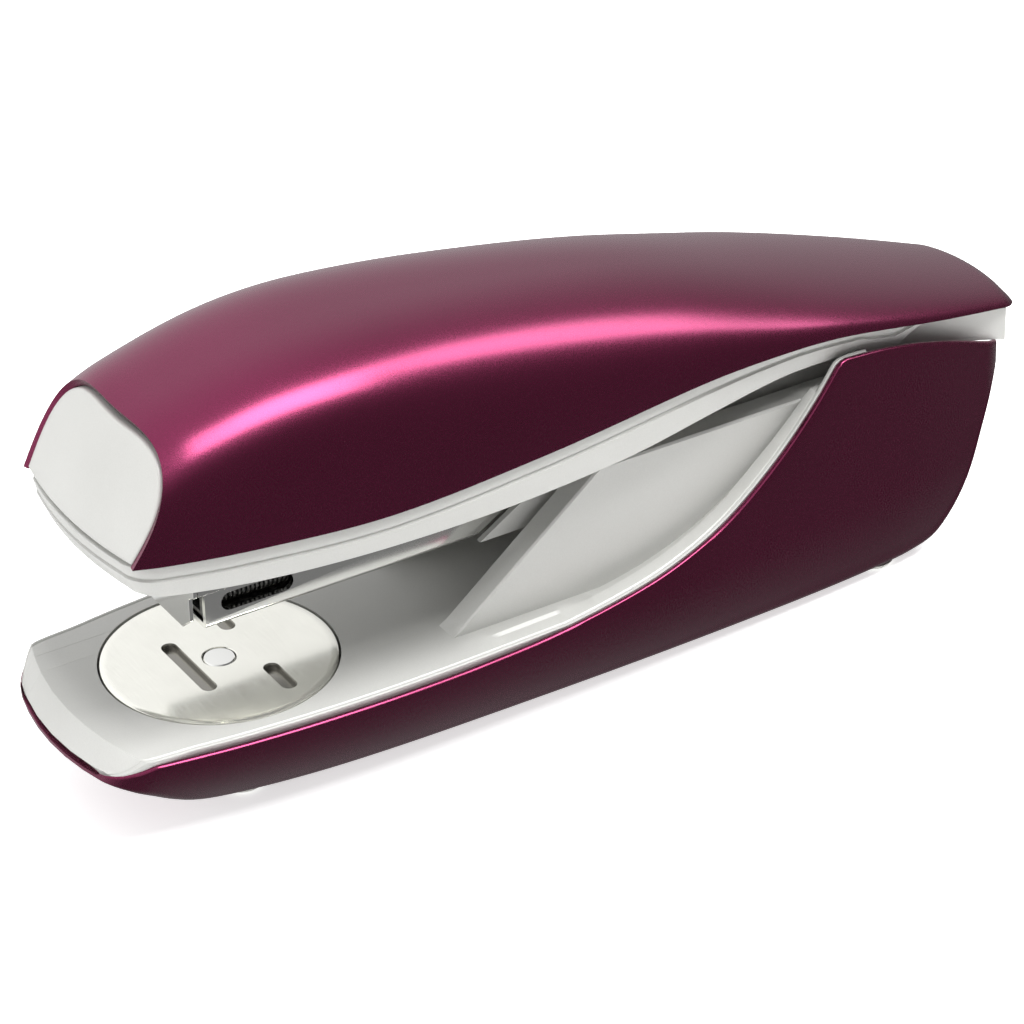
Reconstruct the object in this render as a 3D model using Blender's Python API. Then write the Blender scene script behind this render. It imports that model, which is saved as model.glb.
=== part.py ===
"""Desktop stapler: a swept metal base with a soft-coloured deck, a turning anvil, a staple
magazine and a domed handle that share one hinge pin.

Lengths are in millimetres and become metres where a mesh is made.  +Y runs from the nose
(the staple end) to the hinge end, +X is the width and +Z is up.  The origin is the middle of
the footprint, on the table.
"""
import math

import bmesh
import bpy
from mathutils import Vector
from mathutils.geometry import tessellate_polygon

MM = 0.001
GAP = 0.3                      # clearance between neighbouring pieces

# ---- driving dimensions -------------------------------------------------------------------
NOSE_Y = -77.8                 # front of the base, on the centre line
TAIL_Y = 75.6                  # rear of the base, on the centre line
COVER_TAIL_Y = 77.8            # rear of the handle cover
DECK_Z = 16.0                  # top of the deck and of the anvil disc
ANVIL_Y = -51.6                # centre of the anvil disc
ANVIL_R = 16.5
PIVOT_Y, PIVOT_Z = 60.4, 26.0  # hinge pin of magazine and handle
SHELL_WALL = 1.0               # painted metal of base and cover
LINER_WALL = 0.8
CROWN_HALF = 6.45              # half of a 24/6 staple's 12.9 mm crown
CHANNEL_HALF = 7.5             # outside of the magazine channel
CHANNEL_WALL = 0.8
CHANNEL_Z = 26.2               # underside of the magazine at rest
CHANNEL_TOP = 35.5
CHANNEL_FRONT, CHANNEL_REAR = -56.9, 45.4
CARRIER_HALF = 8.7
FRAME_TAIL_Y = 73.5


def curve(*points):
    """Smooth function through (position, value) points: cubic, with shared end slopes."""
    xs = [p[0] for p in points]
    ys = [p[1] for p in points]
    last = len(points) - 1
    slopes = []
    for i in range(last + 1):
        a, b = max(i - 1, 0), min(i + 1, last)
        slopes.append((ys[b] - ys[a]) / (xs[b] - xs[a]))

    def value(x):
        if x <= xs[0]:
            return ys[0] + slopes[0] * (x - xs[0])
        if x >= xs[-1]:
            return ys[-1] + slopes[-1] * (x - xs[-1])
        i = max(k for k in range(last) if xs[k] <= x)
        step = xs[i + 1] - xs[i]
        t = (x - xs[i]) / step
        rise = ys[i] * (2 * t ** 3 - 3 * t ** 2 + 1) + ys[i + 1] * (3 * t ** 2 - 2 * t ** 3)
        turn = slopes[i] * (t ** 3 - 2 * t ** 2 + t) + slopes[i + 1] * (t ** 3 - t ** 2)
        return rise + step * turn

    return value


# ---- outlines along the length ------------------------------------------------------------
base_half = curve((-77.8, 17.4), (-72, 18.5), (-58, 20.2), (-36, 21.4), (-10, 20.9), (15, 19.8),
                  (40, 17.6), (60, 14.9), (77.8, 11.2))
keel_half = curve((-77.8, 6.5), (-61, 10.2), (-41, 13.1), (-10, 14.1), (25, 13.9), (51, 12.6),
                  (75.6, 9.0))
rear_rim = curve((40.5, 42.1), (50, 40.7), (62, 37.3), (72, 33.2), (75.6, 31.7))
cover_half = curve((-72.5, 15.6), (-66, 17.1), (-52, 18.9), (-35, 20.4), (-18, 20.7), (2, 20.3),
                   (20, 19.3), (41, 17.6), (60, 14.9), (77.8, 10.7))
cover_edge = curve((-72.5, 45.0), (-55, 43.8), (-35, 43.3), (-10, 44.9), (15, 47.0), (31, 46.8),
                   (42, 45.5), (62, 40.8), (77.8, 36.7))
cover_crown = curve((-72.5, 54.5), (-60, 61.0), (-46, 64.2), (-31, 64.8), (-10, 62.7), (15, 58.0),
                    (38, 51.3), (60, 44.3), (77.8, 38.4))
cover_power = curve((-72, 3.9), (-41, 3.4), (-20, 3.0), (3, 2.55), (36, 2.1), (77.8, 2.0))
frame_inset = curve((-77.8, 0.8), (5, 0.9), (18, 1.4), (34, 2.5), (77.8, 2.5))
frame_bottom = curve((-72.5, 40.2), (-62, 38.8), (-50, 37.9), (-32, 37.7), (-15, 37.9), (2, 38.9),
                     (18, 40.6), (32, 41.3), (44, 40.6))

SWOOP_START, SWOOP_LENGTH, SWOOP_HEIGHT = -20.0, 65.0, 44.0
SWOOP_END = 40.5
RIM_Z = 15.6                   # top edge of the metal shell beside the deck
NOSE_RIM_Z = 12.4
BOW_START = -60.0              # forward of this the keel rises
BOW_RISE = 10.0
CORNER_R = 4.0
PLAN_BOW = 0.0115              # nose and tail bulge, mm per mm squared off centre
PANEL_BOW = 0.0067
PANEL_RAKE = 0.575             # the front panel leans back this much per mm of height
PANEL_FOOT_Y, PANEL_FOOT_Z = -72.5, 45.3
SKIRT_CLEAR_R = 14.4           # the skirt stays outside this circle about the pin


def rim_height(s):
    """Top edge of the metal shell: low at the nose, then an elliptic sweep up to the rear."""
    if s < -73.0:
        t = (-73.0 - s) / (-73.0 - NOSE_Y)
        return RIM_Z - (RIM_Z - NOSE_RIM_Z) * t ** 1.5
    if s < SWOOP_START:
        return RIM_Z
    if s < SWOOP_END:
        t = (s - SWOOP_START) / SWOOP_LENGTH
        return RIM_Z + SWOOP_HEIGHT * (1 - math.sqrt(1 - t * t))
    return rear_rim(s)


tail_keel = curve((59.0, 1.0), (62.5, 2.1), (64.6, 4.4), (68.0, 10.5), (71.3, 19.6), (74.5, 28.6),
                  (75.6, 31.0))


def keel_height(s):
    """Underside of the base: flat, rising at the nose like a boat's bow and at the tail."""
    if s < BOW_START:
        return 1.0 + BOW_RISE * ((BOW_START - s) / (BOW_START - NOSE_Y)) ** 1.25
    if s > 59.0:
        return max(1.0, tail_keel(s))
    return 1.0


def hull_half(s, z):
    """Half width of the base at height z: tucked in below the deck, upright above it."""
    t = min(max((z - 1.0) / (DECK_Z - 1.0), 0.0), 1.0)
    full = base_half(s)
    narrow = min(keel_half(s), full)
    reach = narrow + (full - narrow) * (1 - (1 - t) ** 1.7)
    for end, sign in ((NOSE_Y, 1), (TAIL_Y, -1)):
        inside = (s - end) * sign
        if inside < CORNER_R:
            u = 1 - max(inside, 0) / CORNER_R
            reach -= CORNER_R * (1 - math.sqrt(max(0.0, 1 - u * u)))
    return reach


def plan_bow(s, front=PLAN_BOW, rear=-PLAN_BOW):
    """How much a cross section bulges in plan: only near the two ends."""
    if s < -50.0:
        return front * (-50.0 - s) / (-50.0 - NOSE_Y)
    if s > 55.0:
        return rear * (s - 55.0) / (TAIL_Y - 55.0)
    return 0.0


# ---- mesh helpers -------------------------------------------------------------------------
FINISHES = {
    "painted_metal": ((0.16, 0.02, 0.06), 0.28, 0.9),
    "grey_plastic": ((0.62, 0.62, 0.59), 0.5, 0.0),
    "bright_steel": ((0.78, 0.77, 0.74), 0.16, 1.0),
    "spring_steel": ((0.35, 0.35, 0.36), 0.3, 1.0),
    "rubber": ((0.62, 0.62, 0.6), 0.75, 0.0),
}


def finish(name):
    material = bpy.data.materials.get(name)
    if material is None:
        colour, roughness, metallic = FINISHES[name]
        material = bpy.data.materials.new(name)
        material.use_nodes = True
        shader = material.node_tree.nodes["Principled BSDF"]
        shader.inputs["Base Color"].default_value = (*colour, 1.0)
        shader.inputs["Roughness"].default_value = roughness
        shader.inputs["Metallic"].default_value = metallic
    return material


def make_object(name, mesh_data, finish_name, smooth=True, parent=None):
    """Turn a bmesh in millimetres into an object whose origin is its parent's axis."""
    bmesh.ops.recalc_face_normals(mesh_data, faces=mesh_data.faces)
    bmesh.ops.scale(mesh_data, vec=(MM, MM, MM), verts=mesh_data.verts)
    if parent is not None:
        bmesh.ops.translate(mesh_data, vec=-parent.matrix_world.translation, verts=mesh_data.verts)
    mesh = bpy.data.meshes.new(name)
    mesh_data.to_mesh(mesh)
    mesh_data.free()
    piece = bpy.data.objects.new(name, mesh)
    bpy.context.scene.collection.objects.link(piece)
    mesh.materials.append(finish(finish_name))
    if smooth:
        mesh.shade_smooth()
        mesh.set_sharp_from_angle(angle=math.radians(35))
    if parent is not None:
        piece.parent = parent
    return piece


def rings_mesh(rings, split=None):
    """Closed body through equal rings of points; split caps the ends in two halves."""
    mesh_data = bmesh.new()
    rows = [[mesh_data.verts.new(p) for p in ring] for ring in rings]
    count = len(rings[0])
    for a, b in zip(rows, rows[1:]):
        for i in range(count):
            j = (i + 1) % count
            mesh_data.faces.new((a[i], a[j], b[j], b[i]))
    bmesh.ops.triangulate(mesh_data, faces=mesh_data.faces[:])
    everything = list(range(count))
    parts = [everything] if split is None else [everything[:split + 1], everything[split:] + [0]]
    for row, ring in ((rows[0], rings[0]), (rows[-1], rings[-1])):
        for part in parts:
            for corners in tessellate_polygon([[Vector(ring[i]) for i in part]]):
                mesh_data.faces.new([row[part[i]] for i in corners])
    return mesh_data


def prism(outline, axis, low, high):
    """Outline extruded along an axis. For X it is (y, z), for Y (x, z) and for Z (x, y)."""
    order = {"X": lambda u, v, w: (w, u, v), "Y": lambda u, v, w: (u, w, v),
             "Z": lambda u, v, w: (u, v, w)}[axis]
    return rings_mesh([[order(u, v, w) for u, v in outline] for w in (low, high)])


def box(low, high):
    corners = [(low[0], low[1]), (high[0], low[1]), (high[0], high[1]), (low[0], high[1])]
    return prism(corners, "Z", low[2], high[2])


def arc(centre, radius, start, end, steps):
    """Points on a circle, angles in degrees."""
    angles = [math.radians(start + (end - start) * i / steps) for i in range(steps + 1)]
    return [(centre[0] + radius * math.cos(a), centre[1] + radius * math.sin(a)) for a in angles]


def round_outline(centre, radius, sides=24):
    return arc(centre, radius, 0, 360 - 360 / sides, sides - 1)


def turned(profile, centre, axis="Z", sides=24):
    """Body of (radius, height) points turned about an axis through centre."""
    rings = []
    for radius, height in profile:
        ring = []
        for u, v in round_outline((0, 0), radius, sides):
            if axis == "Z":
                ring.append((centre[0] + u, centre[1] + v, centre[2] + height))
            else:
                ring.append((centre[0] + height, centre[1] + u, centre[2] + v))
        rings.append(ring)
    return rings_mesh(rings)


def loft(stations, half_section, bow=plan_bow, rake=None):
    """Body through mirrored cross sections; half_section(s) runs from centre to centre."""
    rings = []
    for s in stations:
        half = half_section(s)
        inner = [(-x, z) for x, z in reversed(half) if x > 1e-6]
        ring = []
        for x, z in half + inner:
            y = s + bow(s) * x * x
            ring.append((x, y + (rake(s, z) if rake else 0.0), z))
        rings.append(ring)
    return rings_mesh(rings, split=len(half) - 1)


def steps_between(low, high, count):
    return [low + (high - low) * i / count for i in range(count + 1)]


def add_boolean(piece, mesh_data, operation="DIFFERENCE"):
    """Cut, join or intersect piece with a hidden body."""
    index = len(piece.modifiers) + 1
    helper = make_object(f"{piece.name}_{operation.lower()}_{index}", mesh_data,
                         "spring_steel", parent=piece.parent)
    helper.hide_render = True
    helper.display_type = "WIRE"
    modifier = piece.modifiers.new(f"{operation.title()} {index}", "BOOLEAN")
    modifier.operation = operation
    modifier.solver = "EXACT"
    modifier.object = helper


def coil_mesh(centre, axis, radius, wire, length, turns, per_turn=10, sides=5):
    """Helical wire along an axis, starting at centre."""
    total = turns * per_turn
    rings = []
    for i in range(total + 1):
        angle = 2 * math.pi * i / per_turn
        out = Vector((math.cos(angle), math.sin(angle), 0))
        along = Vector((0, 0, length * i / total))
        ring = []
        for k in range(sides):
            roll = 2 * math.pi * k / sides
            point = out * (radius + wire * math.cos(roll)) + along + Vector((0, 0, wire * math.sin(roll)))
            if axis == "Y":
                point = Vector((point.x, point.z, point.y))
            if axis == "X":
                point = Vector((point.z, point.x, point.y))
            ring.append(tuple(Vector(centre) + point))
        rings.append(ring)
    return rings_mesh(rings)


def pivot_empty(name, location, parent=None):
    empty = bpy.data.objects.new(name, None)
    bpy.context.scene.collection.objects.link(empty)
    empty.location = Vector(location) * MM
    if parent is not None:
        empty.parent = parent
        empty.location = Vector(location) * MM - parent.matrix_world.translation
    bpy.context.view_layer.update()
    return empty


# ---- base ---------------------------------------------------------------------------------
def hull_section(s, wall, extra_top):
    """Half section of the hull solid, from the keel's centre to the top's centre."""
    keel = keel_height(s) + wall
    top = rim_height(s) + extra_top
    deck = max(min(DECK_Z - 1.0, rim_height(s) - 0.5), keel + 0.6 * (rim_height(s) - keel))
    round_off = min(0.8, 0.2 * (deck - keel))
    levels = [keel + round_off] + [keel + (deck - keel) * f for f in (0.3, 0.6)] + [deck, top]
    half = [(0.0, keel), (hull_half(s, keel) - wall - 1.5 * round_off, keel)]
    half += [(hull_half(s, z) - wall, z) for z in levels]
    return half + [(0.0, top)]


def base_shell():
    """Painted metal tub with the swept upper edge and a notch for the handle's tail."""
    ends = [NOSE_Y, -77.2, -76.2, -74.6, -73.0, -70.0, -66.0, -60.0, -50.0, -38.0, -25.0]
    swoop = [-15.0, -5.0, 5.0, 13.0, 20.0, 26.0, 31.0, 35.0, 38.5, SWOOP_END]
    tail = [48.0, 55.0, 60.0, 63.0, 66.0, 69.0, 72.0, 74.5, TAIL_Y]
    outer = loft(ends + swoop + tail, lambda s: hull_section(s, 0.0, 0.0))
    shell = make_object("base_shell", outer, "painted_metal")
    inside = [s for s in ends + swoop + tail if NOSE_Y + 1.0 < s < TAIL_Y - 2.0]
    cavity = loft(inside, lambda s: hull_section(s, SHELL_WALL, 12.0))
    add_boolean(shell, cavity)
    add_boolean(shell, box((-10.9, 66.0, 18.0), (10.9, 82.0, 46.0)))
    add_boolean(shell, turned([(1.9, -1.0), (1.9, 6.0)], (0, SCREW_Y, 0)))
    return shell


CHEEK_IN, CHEEK_OUT = 10.0, 14.0
CHEEK_TOP = 35.5
RAMP_START, RAMP_SLOPE = -22.4, 0.82
CHEEK_END = 45.6               # the deck's open rear end
LEDGE_TOP = 37.4
FLOOR_Z = DECK_Z - 1.6
SCREW_Y = -30.0


def inlay_section(s):
    """Half section of the deck: floor, hinge cheek, side ledge and liner, then the underside."""
    side = hull_half(s, DECK_Z) - SHELL_WALL - GAP
    at_nose = s < -74.5
    floor = NOSE_RIM_Z + 0.8 if at_nose else DECK_Z
    under = NOSE_RIM_Z - 0.6 if s < -73.0 else FLOOR_Z
    ledge = max(floor, min(rim_height(s), LEDGE_TOP))
    cheek = max(floor, min(DECK_Z + (s - RAMP_START) * RAMP_SLOPE, CHEEK_TOP))
    outer_cheek = min(CHEEK_OUT, side - 1.4)
    outer = [(0.0, floor), (CHEEK_IN - 0.3, floor), (CHEEK_IN, cheek), (outer_cheek - 0.3, max(cheek, ledge)),
             (outer_cheek, ledge + 0.05), (side - 0.6, ledge + 0.2), (side, max(ledge + 0.3, min(rim_height(s), 42.0)))]
    hollow = max(under, cheek - 1.5)
    ridge = max(under, ledge - 1.5)
    low_side = min(side, hull_half(s, under) - SHELL_WALL - 2 * GAP)
    inner = [(low_side, ridge), (outer_cheek - 1.0, ridge), (outer_cheek - 1.4, max(hollow, ridge)),
             (CHEEK_IN + 1.4, max(hollow, under)), (CHEEK_IN + 1.1, under), (0.0, under)]
    return outer + inner


def base_inlay():
    """Soft-coloured deck with the anvil's seat, the ramped hinge cheeks and the side liner."""
    front = [-75.3, -74.8, -74.2, -73.2, -72.4, -69.0, -65.0, -60.0, -50.0, -38.0, -28.0, RAMP_START]
    ramp = [-18.0, -10.0, -3.0, 1.4, 8.0, 14.0, 20.0, 26.0, 31.0, 35.0, 38.5, 41.0, CHEEK_END]
    inlay = make_object("base_inlay", loft(front + ramp, inlay_section), "grey_plastic")
    add_boolean(inlay, turned([(ANVIL_R + GAP, 10.0), (ANVIL_R + GAP, 20.0)], (0, ANVIL_Y, 0), sides=48))


def anvil_seat():
    """Dish under the deck that carries the anvil."""
    dish = turned([(ANVIL_R + 1.5, 12.0), (ANVIL_R + 1.5, FLOOR_Z - GAP)], (0, ANVIL_Y, 0), sides=48)
    seat = make_object("anvil_seat", dish, "grey_plastic")
    add_boolean(seat, turned([(ANVIL_R + GAP, 13.3), (ANVIL_R + GAP, 20.0)], (0, ANVIL_Y, 0), sides=48))
    add_boolean(seat, turned([(3.0, 5.0), (3.0, 20.0)], (0, ANVIL_Y, 0)))


def chassis():
    """Steel strip along the base with the anvil's pedestal and the two hinge ears."""
    strip = make_object("chassis", box((-8.0, -59.5, 2.6), (8.0, 57.0, 3.9)), "bright_steel")
    add_boolean(strip, turned([(6.0, 3.0), (6.0, 11.6)], (0, ANVIL_Y, 0)), "UNION")
    ear = [(52.0, 3.0), (66.0, 12.0)] + arc((PIVOT_Y, PIVOT_Z), 5.6, 0, 180, 10) + [(50.0, 12.0)]
    blank = prism(ear, "X", -9.9, 9.9)
    add_boolean(strip, blank, "UNION")
    add_boolean(strip, box((-9.0, 40.0, 3.7), (9.0, 80.0, 40.0)))
    add_boolean(strip, turned([(2.3, -15.0), (2.3, 15.0)], (0, PIVOT_Y, PIVOT_Z), "X"))
    add_boolean(strip, turned([(2.1, 1.0), (2.1, 14.0)], (0, ANVIL_Y, 0)))
    add_boolean(strip, turned([(1.7, 1.0), (1.7, 6.0)], (0, SCREW_Y, 0)))
    return strip


def base_hardware():
    """Pin, clips, screws, feet, anvil rivet and springs of the base."""
    make_object("pivot_pin", turned([(1.6, -11.6), (2.0, -11.2), (2.0, 11.2), (1.6, 11.6)],
                                    (0, PIVOT_Y, PIVOT_Z), "X"), "bright_steel")
    for side, x in (("left", -10.8), ("right", 10.3)):
        ring = make_object(f"pin_clip_{side}", turned([(3.4, 0), (3.4, 0.5)], (x, PIVOT_Y, PIVOT_Z), "X"),
                           "spring_steel")
        add_boolean(ring, turned([(2.3, -1), (2.3, 2)], (x, PIVOT_Y, PIVOT_Z), "X"))
    screw = [(2.4, 0.3), (3.2, 0.7), (1.4, 0.71), (1.4, 6.0)]
    make_object("base_screw", turned(screw, (0, SCREW_Y, 0)), "bright_steel")
    for place, y, x in (("front", -53.0, 7.4), ("rear", 53.0, 8.6)):
        for side, sign in (("left", -1), ("right", 1)):
            foot = [(2.6, 0.0), (3.1, 0.2), (3.3, 0.7)]
            make_object(f"foot_{place}_{side}", turned(foot, (sign * x, y, 0)), "rubber")
    rivet = [(1.7, 4.5), (1.7, 12.6), (2.2, 12.8), (2.2, DECK_Z)]
    make_object("anvil_rivet", turned(rivet, (0, ANVIL_Y, 0)), "bright_steel")
    washer = make_object("anvil_spring", turned([(5.4, 13.6), (5.4, 14.0)], (0, ANVIL_Y, 0)), "spring_steel")
    add_boolean(washer, turned([(3.2, 12.0), (3.2, 16.0)], (0, ANVIL_Y, 0)))
    make_object("lift_spring", coil_mesh((0, 6.0, DECK_Z + 0.8), "Z", 3.6, 0.45, 8.6, 4), "spring_steel")


# ---- anvil --------------------------------------------------------------------------------
GROOVE_OFFSET = 4.7            # grooves lie this far in front of and behind the rivet
GROOVE_WIDTH = 2.3


def anvil_disc(axis):
    """Bright turning plate: one pair of grooves folds the legs in, the other folds them out."""
    z0 = DECK_Z - 1.6
    plate = [(ANVIL_R - 0.3, z0), (ANVIL_R, z0 + 0.3), (ANVIL_R, DECK_Z - 0.2), (ANVIL_R - 0.2, DECK_Z)]
    disc = make_object("anvil_disc", turned(plate, (0, ANVIL_Y, 0), sides=64), "bright_steel", parent=axis)
    add_boolean(disc, turned([(2.5, 10.0), (2.5, 20.0)], (0, ANVIL_Y, 0)))
    for sign, inner, outer in ((-1, 0.9, 6.6), (1, 5.3, 12.5)):
        y = ANVIL_Y + sign * GROOVE_OFFSET
        for side in (-1, 1):
            xs = sorted((side * inner, side * outer))
            groove = box((xs[0], y - GROOVE_WIDTH / 2, DECK_Z - 0.9), (xs[1], y + GROOVE_WIDTH / 2, 20.0))
            add_boolean(disc, groove)


# ---- magazine -----------------------------------------------------------------------------
WINDOW_Y, WINDOW_Z = -48.9, 29.6
WINDOW_HALF, WINDOW_R = 4.15, 1.4


def channel_outline(half, wall, low, high):
    return [(-half, low), (half, low), (half, high), (half - wall, high), (half - wall, low + wall),
            (-half + wall, low + wall), (-half + wall, high), (-half, high)]


def window_prism(radius):
    front = arc((WINDOW_Y - WINDOW_HALF, WINDOW_Z), radius, 90, 270, 8)
    back = arc((WINDOW_Y + WINDOW_HALF, WINDOW_Z), radius, -90, 90, 8)
    return prism(front + back, "X", -12.0, 12.0)


def magazine_channel(axis):
    outline = channel_outline(CHANNEL_HALF, CHANNEL_WALL, CHANNEL_Z, CHANNEL_TOP)
    channel = make_object("magazine_channel", prism(outline, "Y", CHANNEL_FRONT, CHANNEL_REAR),
                          "bright_steel", parent=axis)
    add_boolean(channel, window_prism(WINDOW_R))


def staple_rail(axis):
    outline = channel_outline(5.8, 0.6, CHANNEL_Z + CHANNEL_WALL + GAP, 32.7)
    rail = make_object("staple_rail", prism(outline, "Y", CHANNEL_FRONT + 0.4, CHANNEL_REAR - 0.4),
                       "bright_steel", parent=axis)
    add_boolean(rail, window_prism(WINDOW_R + 0.2))


def front_plate(axis):
    """Plate ahead of the channel that leaves the slot the staple drops through."""
    face = [(-4.6, 26.0), (4.6, 26.0), (7.0, 28.0), (7.0, 31.6), (8.5, 32.4), (8.5, CHANNEL_TOP),
            (-8.5, CHANNEL_TOP), (-8.5, 32.4), (-7.0, 31.6), (-7.0, 28.0)]
    plate = make_object("front_plate", prism(face, "Y", -59.0, -58.4), "bright_steel", parent=axis)
    for low, high in ((-8.5, -7.9), (7.9, 8.5)):
        add_boolean(plate, box((low, -59.0, 32.4), (high, -51.0, CHANNEL_TOP)), "UNION")


def magazine_carrier(axis):
    """Soft-coloured saddle over the rear of the channel, with the fin and the hinge ears."""
    fin = [(-14.6, CHANNEL_Z), (-6.8, CHANNEL_Z), (-4.2, 27.6), (-1.8, 30.2), (0.6, 31.0), (46.0, 31.0), (54.0, 25.0)]
    ear = arc((PIVOT_Y, PIVOT_Z), 5.6, 190, 420, 14)
    top = [(50.0, 34.4), (48.0, 36.8), (5.0, 36.8), (4.0, CHANNEL_TOP), (0.4, CHANNEL_TOP)]
    outline = fin + ear + top
    body = make_object("magazine_carrier", prism(outline, "X", -CARRIER_HALF, CARRIER_HALF),
                       "grey_plastic", parent=axis)
    add_boolean(body, box((-7.8, -30.0, 0.0), (7.8, 80.0, CHANNEL_TOP + GAP)))
    add_boolean(body, box((-7.8, 48.0, 0.0), (7.8, 80.0, 50.0)))
    add_boolean(body, turned([(2.3, -15.0), (2.3, 15.0)], (0, PIVOT_Y, PIVOT_Z), "X"))


SPRING_Z = 30.3
PUSHER_FRONT, PUSHER_TAIL = -56.2, -10.2


def pusher(axis):
    """Slider that pushes the staples: a nose, a long saddle and a tail that holds the spring."""
    slider = make_object("pusher", box((-6.3, PUSHER_FRONT, 33.0), (6.3, PUSHER_TAIL, 34.1)),
                         "bright_steel", parent=axis)
    add_boolean(slider, box((-3.0, PUSHER_FRONT + 14.0, 30.0), (3.0, PUSHER_TAIL - 6.0, 40.0)))
    add_boolean(slider, box((-4.9, PUSHER_TAIL - 1.2, 28.3), (4.9, PUSHER_TAIL, 33.6)), "UNION")
    add_boolean(slider, box((-4.9, PUSHER_FRONT, 32.9), (4.9, PUSHER_FRONT + 4.0, 34.1)), "UNION")


def magazine_springs(axis):
    pin = turned([(0.5, -5.0), (0.5, 5.0)], (0, -55.8, SPRING_Z), "X", sides=10)
    make_object("spring_anchor", pin, "bright_steel", parent=axis)
    length = PUSHER_TAIL - 1.2 + 54.9
    coil = coil_mesh((0, -54.6, SPRING_Z), "Y", 1.7, 0.3, length - 1.2, 20, per_turn=8, sides=4)
    make_object("pusher_spring", coil, "spring_steel", parent=axis)
    torsion = coil_mesh((-4.0, PIVOT_Y, PIVOT_Z), "X", 3.0, 0.4, 8.0, 6)
    make_object("return_spring", torsion, "spring_steel", parent=axis)


# ---- handle -------------------------------------------------------------------------------
def dome_section(s, inset, lift=0.0, foot=0.0):
    """Half section under a rounded top: the exponent makes it squarer towards the nose."""
    half, low = cover_half(s) - inset, cover_edge(s) + lift
    rise = cover_crown(s) - inset - low
    power = 2.0 / cover_power(s)
    points = [(0.0, low - foot)]
    if foot:
        points.append((half, low - foot))
    for i in range(9):
        angle = math.radians(90.0 * i / 8)
        points.append((half * max(math.cos(angle), 0.0) ** power if i < 8 else 0.0,
                       low + rise * math.sin(angle) ** power))
    return points


def panel_y(x, z):
    """The raked and gently bowed front of the handle."""
    return PANEL_FOOT_Y + PANEL_BOW * x * x + PANEL_RAKE * (z - PANEL_FOOT_Z)


def slab_mesh(near, far, low, high):
    """Body between two copies of the front surface, shifted along Y."""
    rings = []
    for x in range(-24, 25, 4):
        rings.append([(x, panel_y(x, low) + near, low), (x, panel_y(x, low) + far, low),
                      (x, panel_y(x, high) + far, high), (x, panel_y(x, high) + near, high)])
    return rings_mesh(rings)


def dome_tail(s):
    """Extra inset that rounds the cover off at its rear end."""
    inside = COVER_TAIL_Y - s
    if inside >= 3.0:
        return 0.0
    return 3.0 * (1 - math.sqrt(max(0.0, 1 - (1 - inside / 3.0) ** 2)))


def top_cover(axis):
    """Painted metal dome: the thumb rests on it, the front is cut to the raked panel."""
    stations = steps_between(-78.0, 66.0, 20) + [70.0, 73.0, 75.5, 77.0, COVER_TAIL_Y]

    def outside(s):
        return [(max(x - dome_tail(s), 0.05) if x else 0.0, z) for x, z in dome_section(s, 0.0)]

    cover = make_object("top_cover", loft(stations, outside), "painted_metal", parent=axis)
    inner = loft(steps_between(-84.0, 66.0, 20) + [70.0, 74.0, 76.0],
                 lambda s: dome_section(s, SHELL_WALL, foot=4.0))
    add_boolean(cover, inner)
    add_boolean(cover, slab_mesh(-30.0, 0.0, 30.0, 80.0))


def front_panel(axis):
    """Soft-coloured plate in the cover's front opening."""
    blank = loft(steps_between(-84.0, -54.0, 8), lambda s: dome_section(s, SHELL_WALL + GAP, lift=GAP))
    panel = make_object("front_panel", blank, "grey_plastic", parent=axis)
    add_boolean(panel, slab_mesh(0.1, 1.6, 35.0, 75.0), "INTERSECT")


def skirt_bottom(s):
    """Lower edge of the frame; near the pin it stays clear of the base while it turns."""
    low = frame_bottom(min(s, 44.0))
    reach = SKIRT_CLEAR_R ** 2 - (s - PIVOT_Y) ** 2
    if reach > 0:
        low = max(low - 0.35 * max(s - 44.0, 0.0), PIVOT_Z + math.sqrt(reach))
    return min(low, cover_edge(s) - GAP - 0.4)


def frame_rake(s, z):
    """The frame's front wall leans forward as it rises."""
    return -0.25 * (z - 40.2) * max(0.0, (-60.0 - s) / 12.5)


def web_top(s):
    """Top of the frame's web: up inside the dome, but below the panel at the very front."""
    rise = min(1.8, 0.22 * (cover_crown(s) - cover_edge(s)) - 0.15)
    blend = min(max((s + 70.5) / 4.5, 0.0), 1.0, max((69.0 - s) / 10.0, 0.0))
    return cover_edge(s) + rise * blend - 0.2 * (1 - blend)


def frame_section(s):
    half, top = cover_half(s), cover_edge(s)
    outer = half - frame_inset(s)
    neck = half - max(1.9, frame_inset(s) + 0.02)
    low = skirt_bottom(s)
    return [(0.0, low), (outer, low), (outer, top - GAP), (neck, top - GAP + 0.01), (neck, web_top(s)),
            (0.0, web_top(s))]


def frame_cavity(s):
    half = cover_half(s) - max(3.3, frame_inset(s) + 1.3)
    low, high = skirt_bottom(s) - 6.0, web_top(s) - 1.2
    return [(0.0, low), (half, low), (half, high), (0.0, high)]


FRAME_BOW = 0.0087


def handle_frame(axis):
    """Soft-coloured skirt and web under the cover."""
    bow = lambda s: plan_bow(s, FRAME_BOW, 0.0)
    front = [-71.8, -69.6, -67.0, -64.0, -60.0, -52.0, -42.0, -30.0, -18.0, -6.0, 6.0, 16.0, 26.0, 34.0]
    rear = [40.0, 44.0, 47.0, 50.0, 54.0, 58.0, 62.0, 66.0, 69.0, 71.0, FRAME_TAIL_Y]
    frame = make_object("handle_frame", loft(front + rear, frame_section, bow, frame_rake),
                        "grey_plastic", parent=axis)
    inside = front[1:] + rear
    add_boolean(frame, loft(inside + [80.0], frame_cavity, bow))
    for y in FRAME_SCREW_YS:
        add_boolean(frame, turned([(1.5, 30.0), (1.5, 60.0)], (0, y, 0)))


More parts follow.
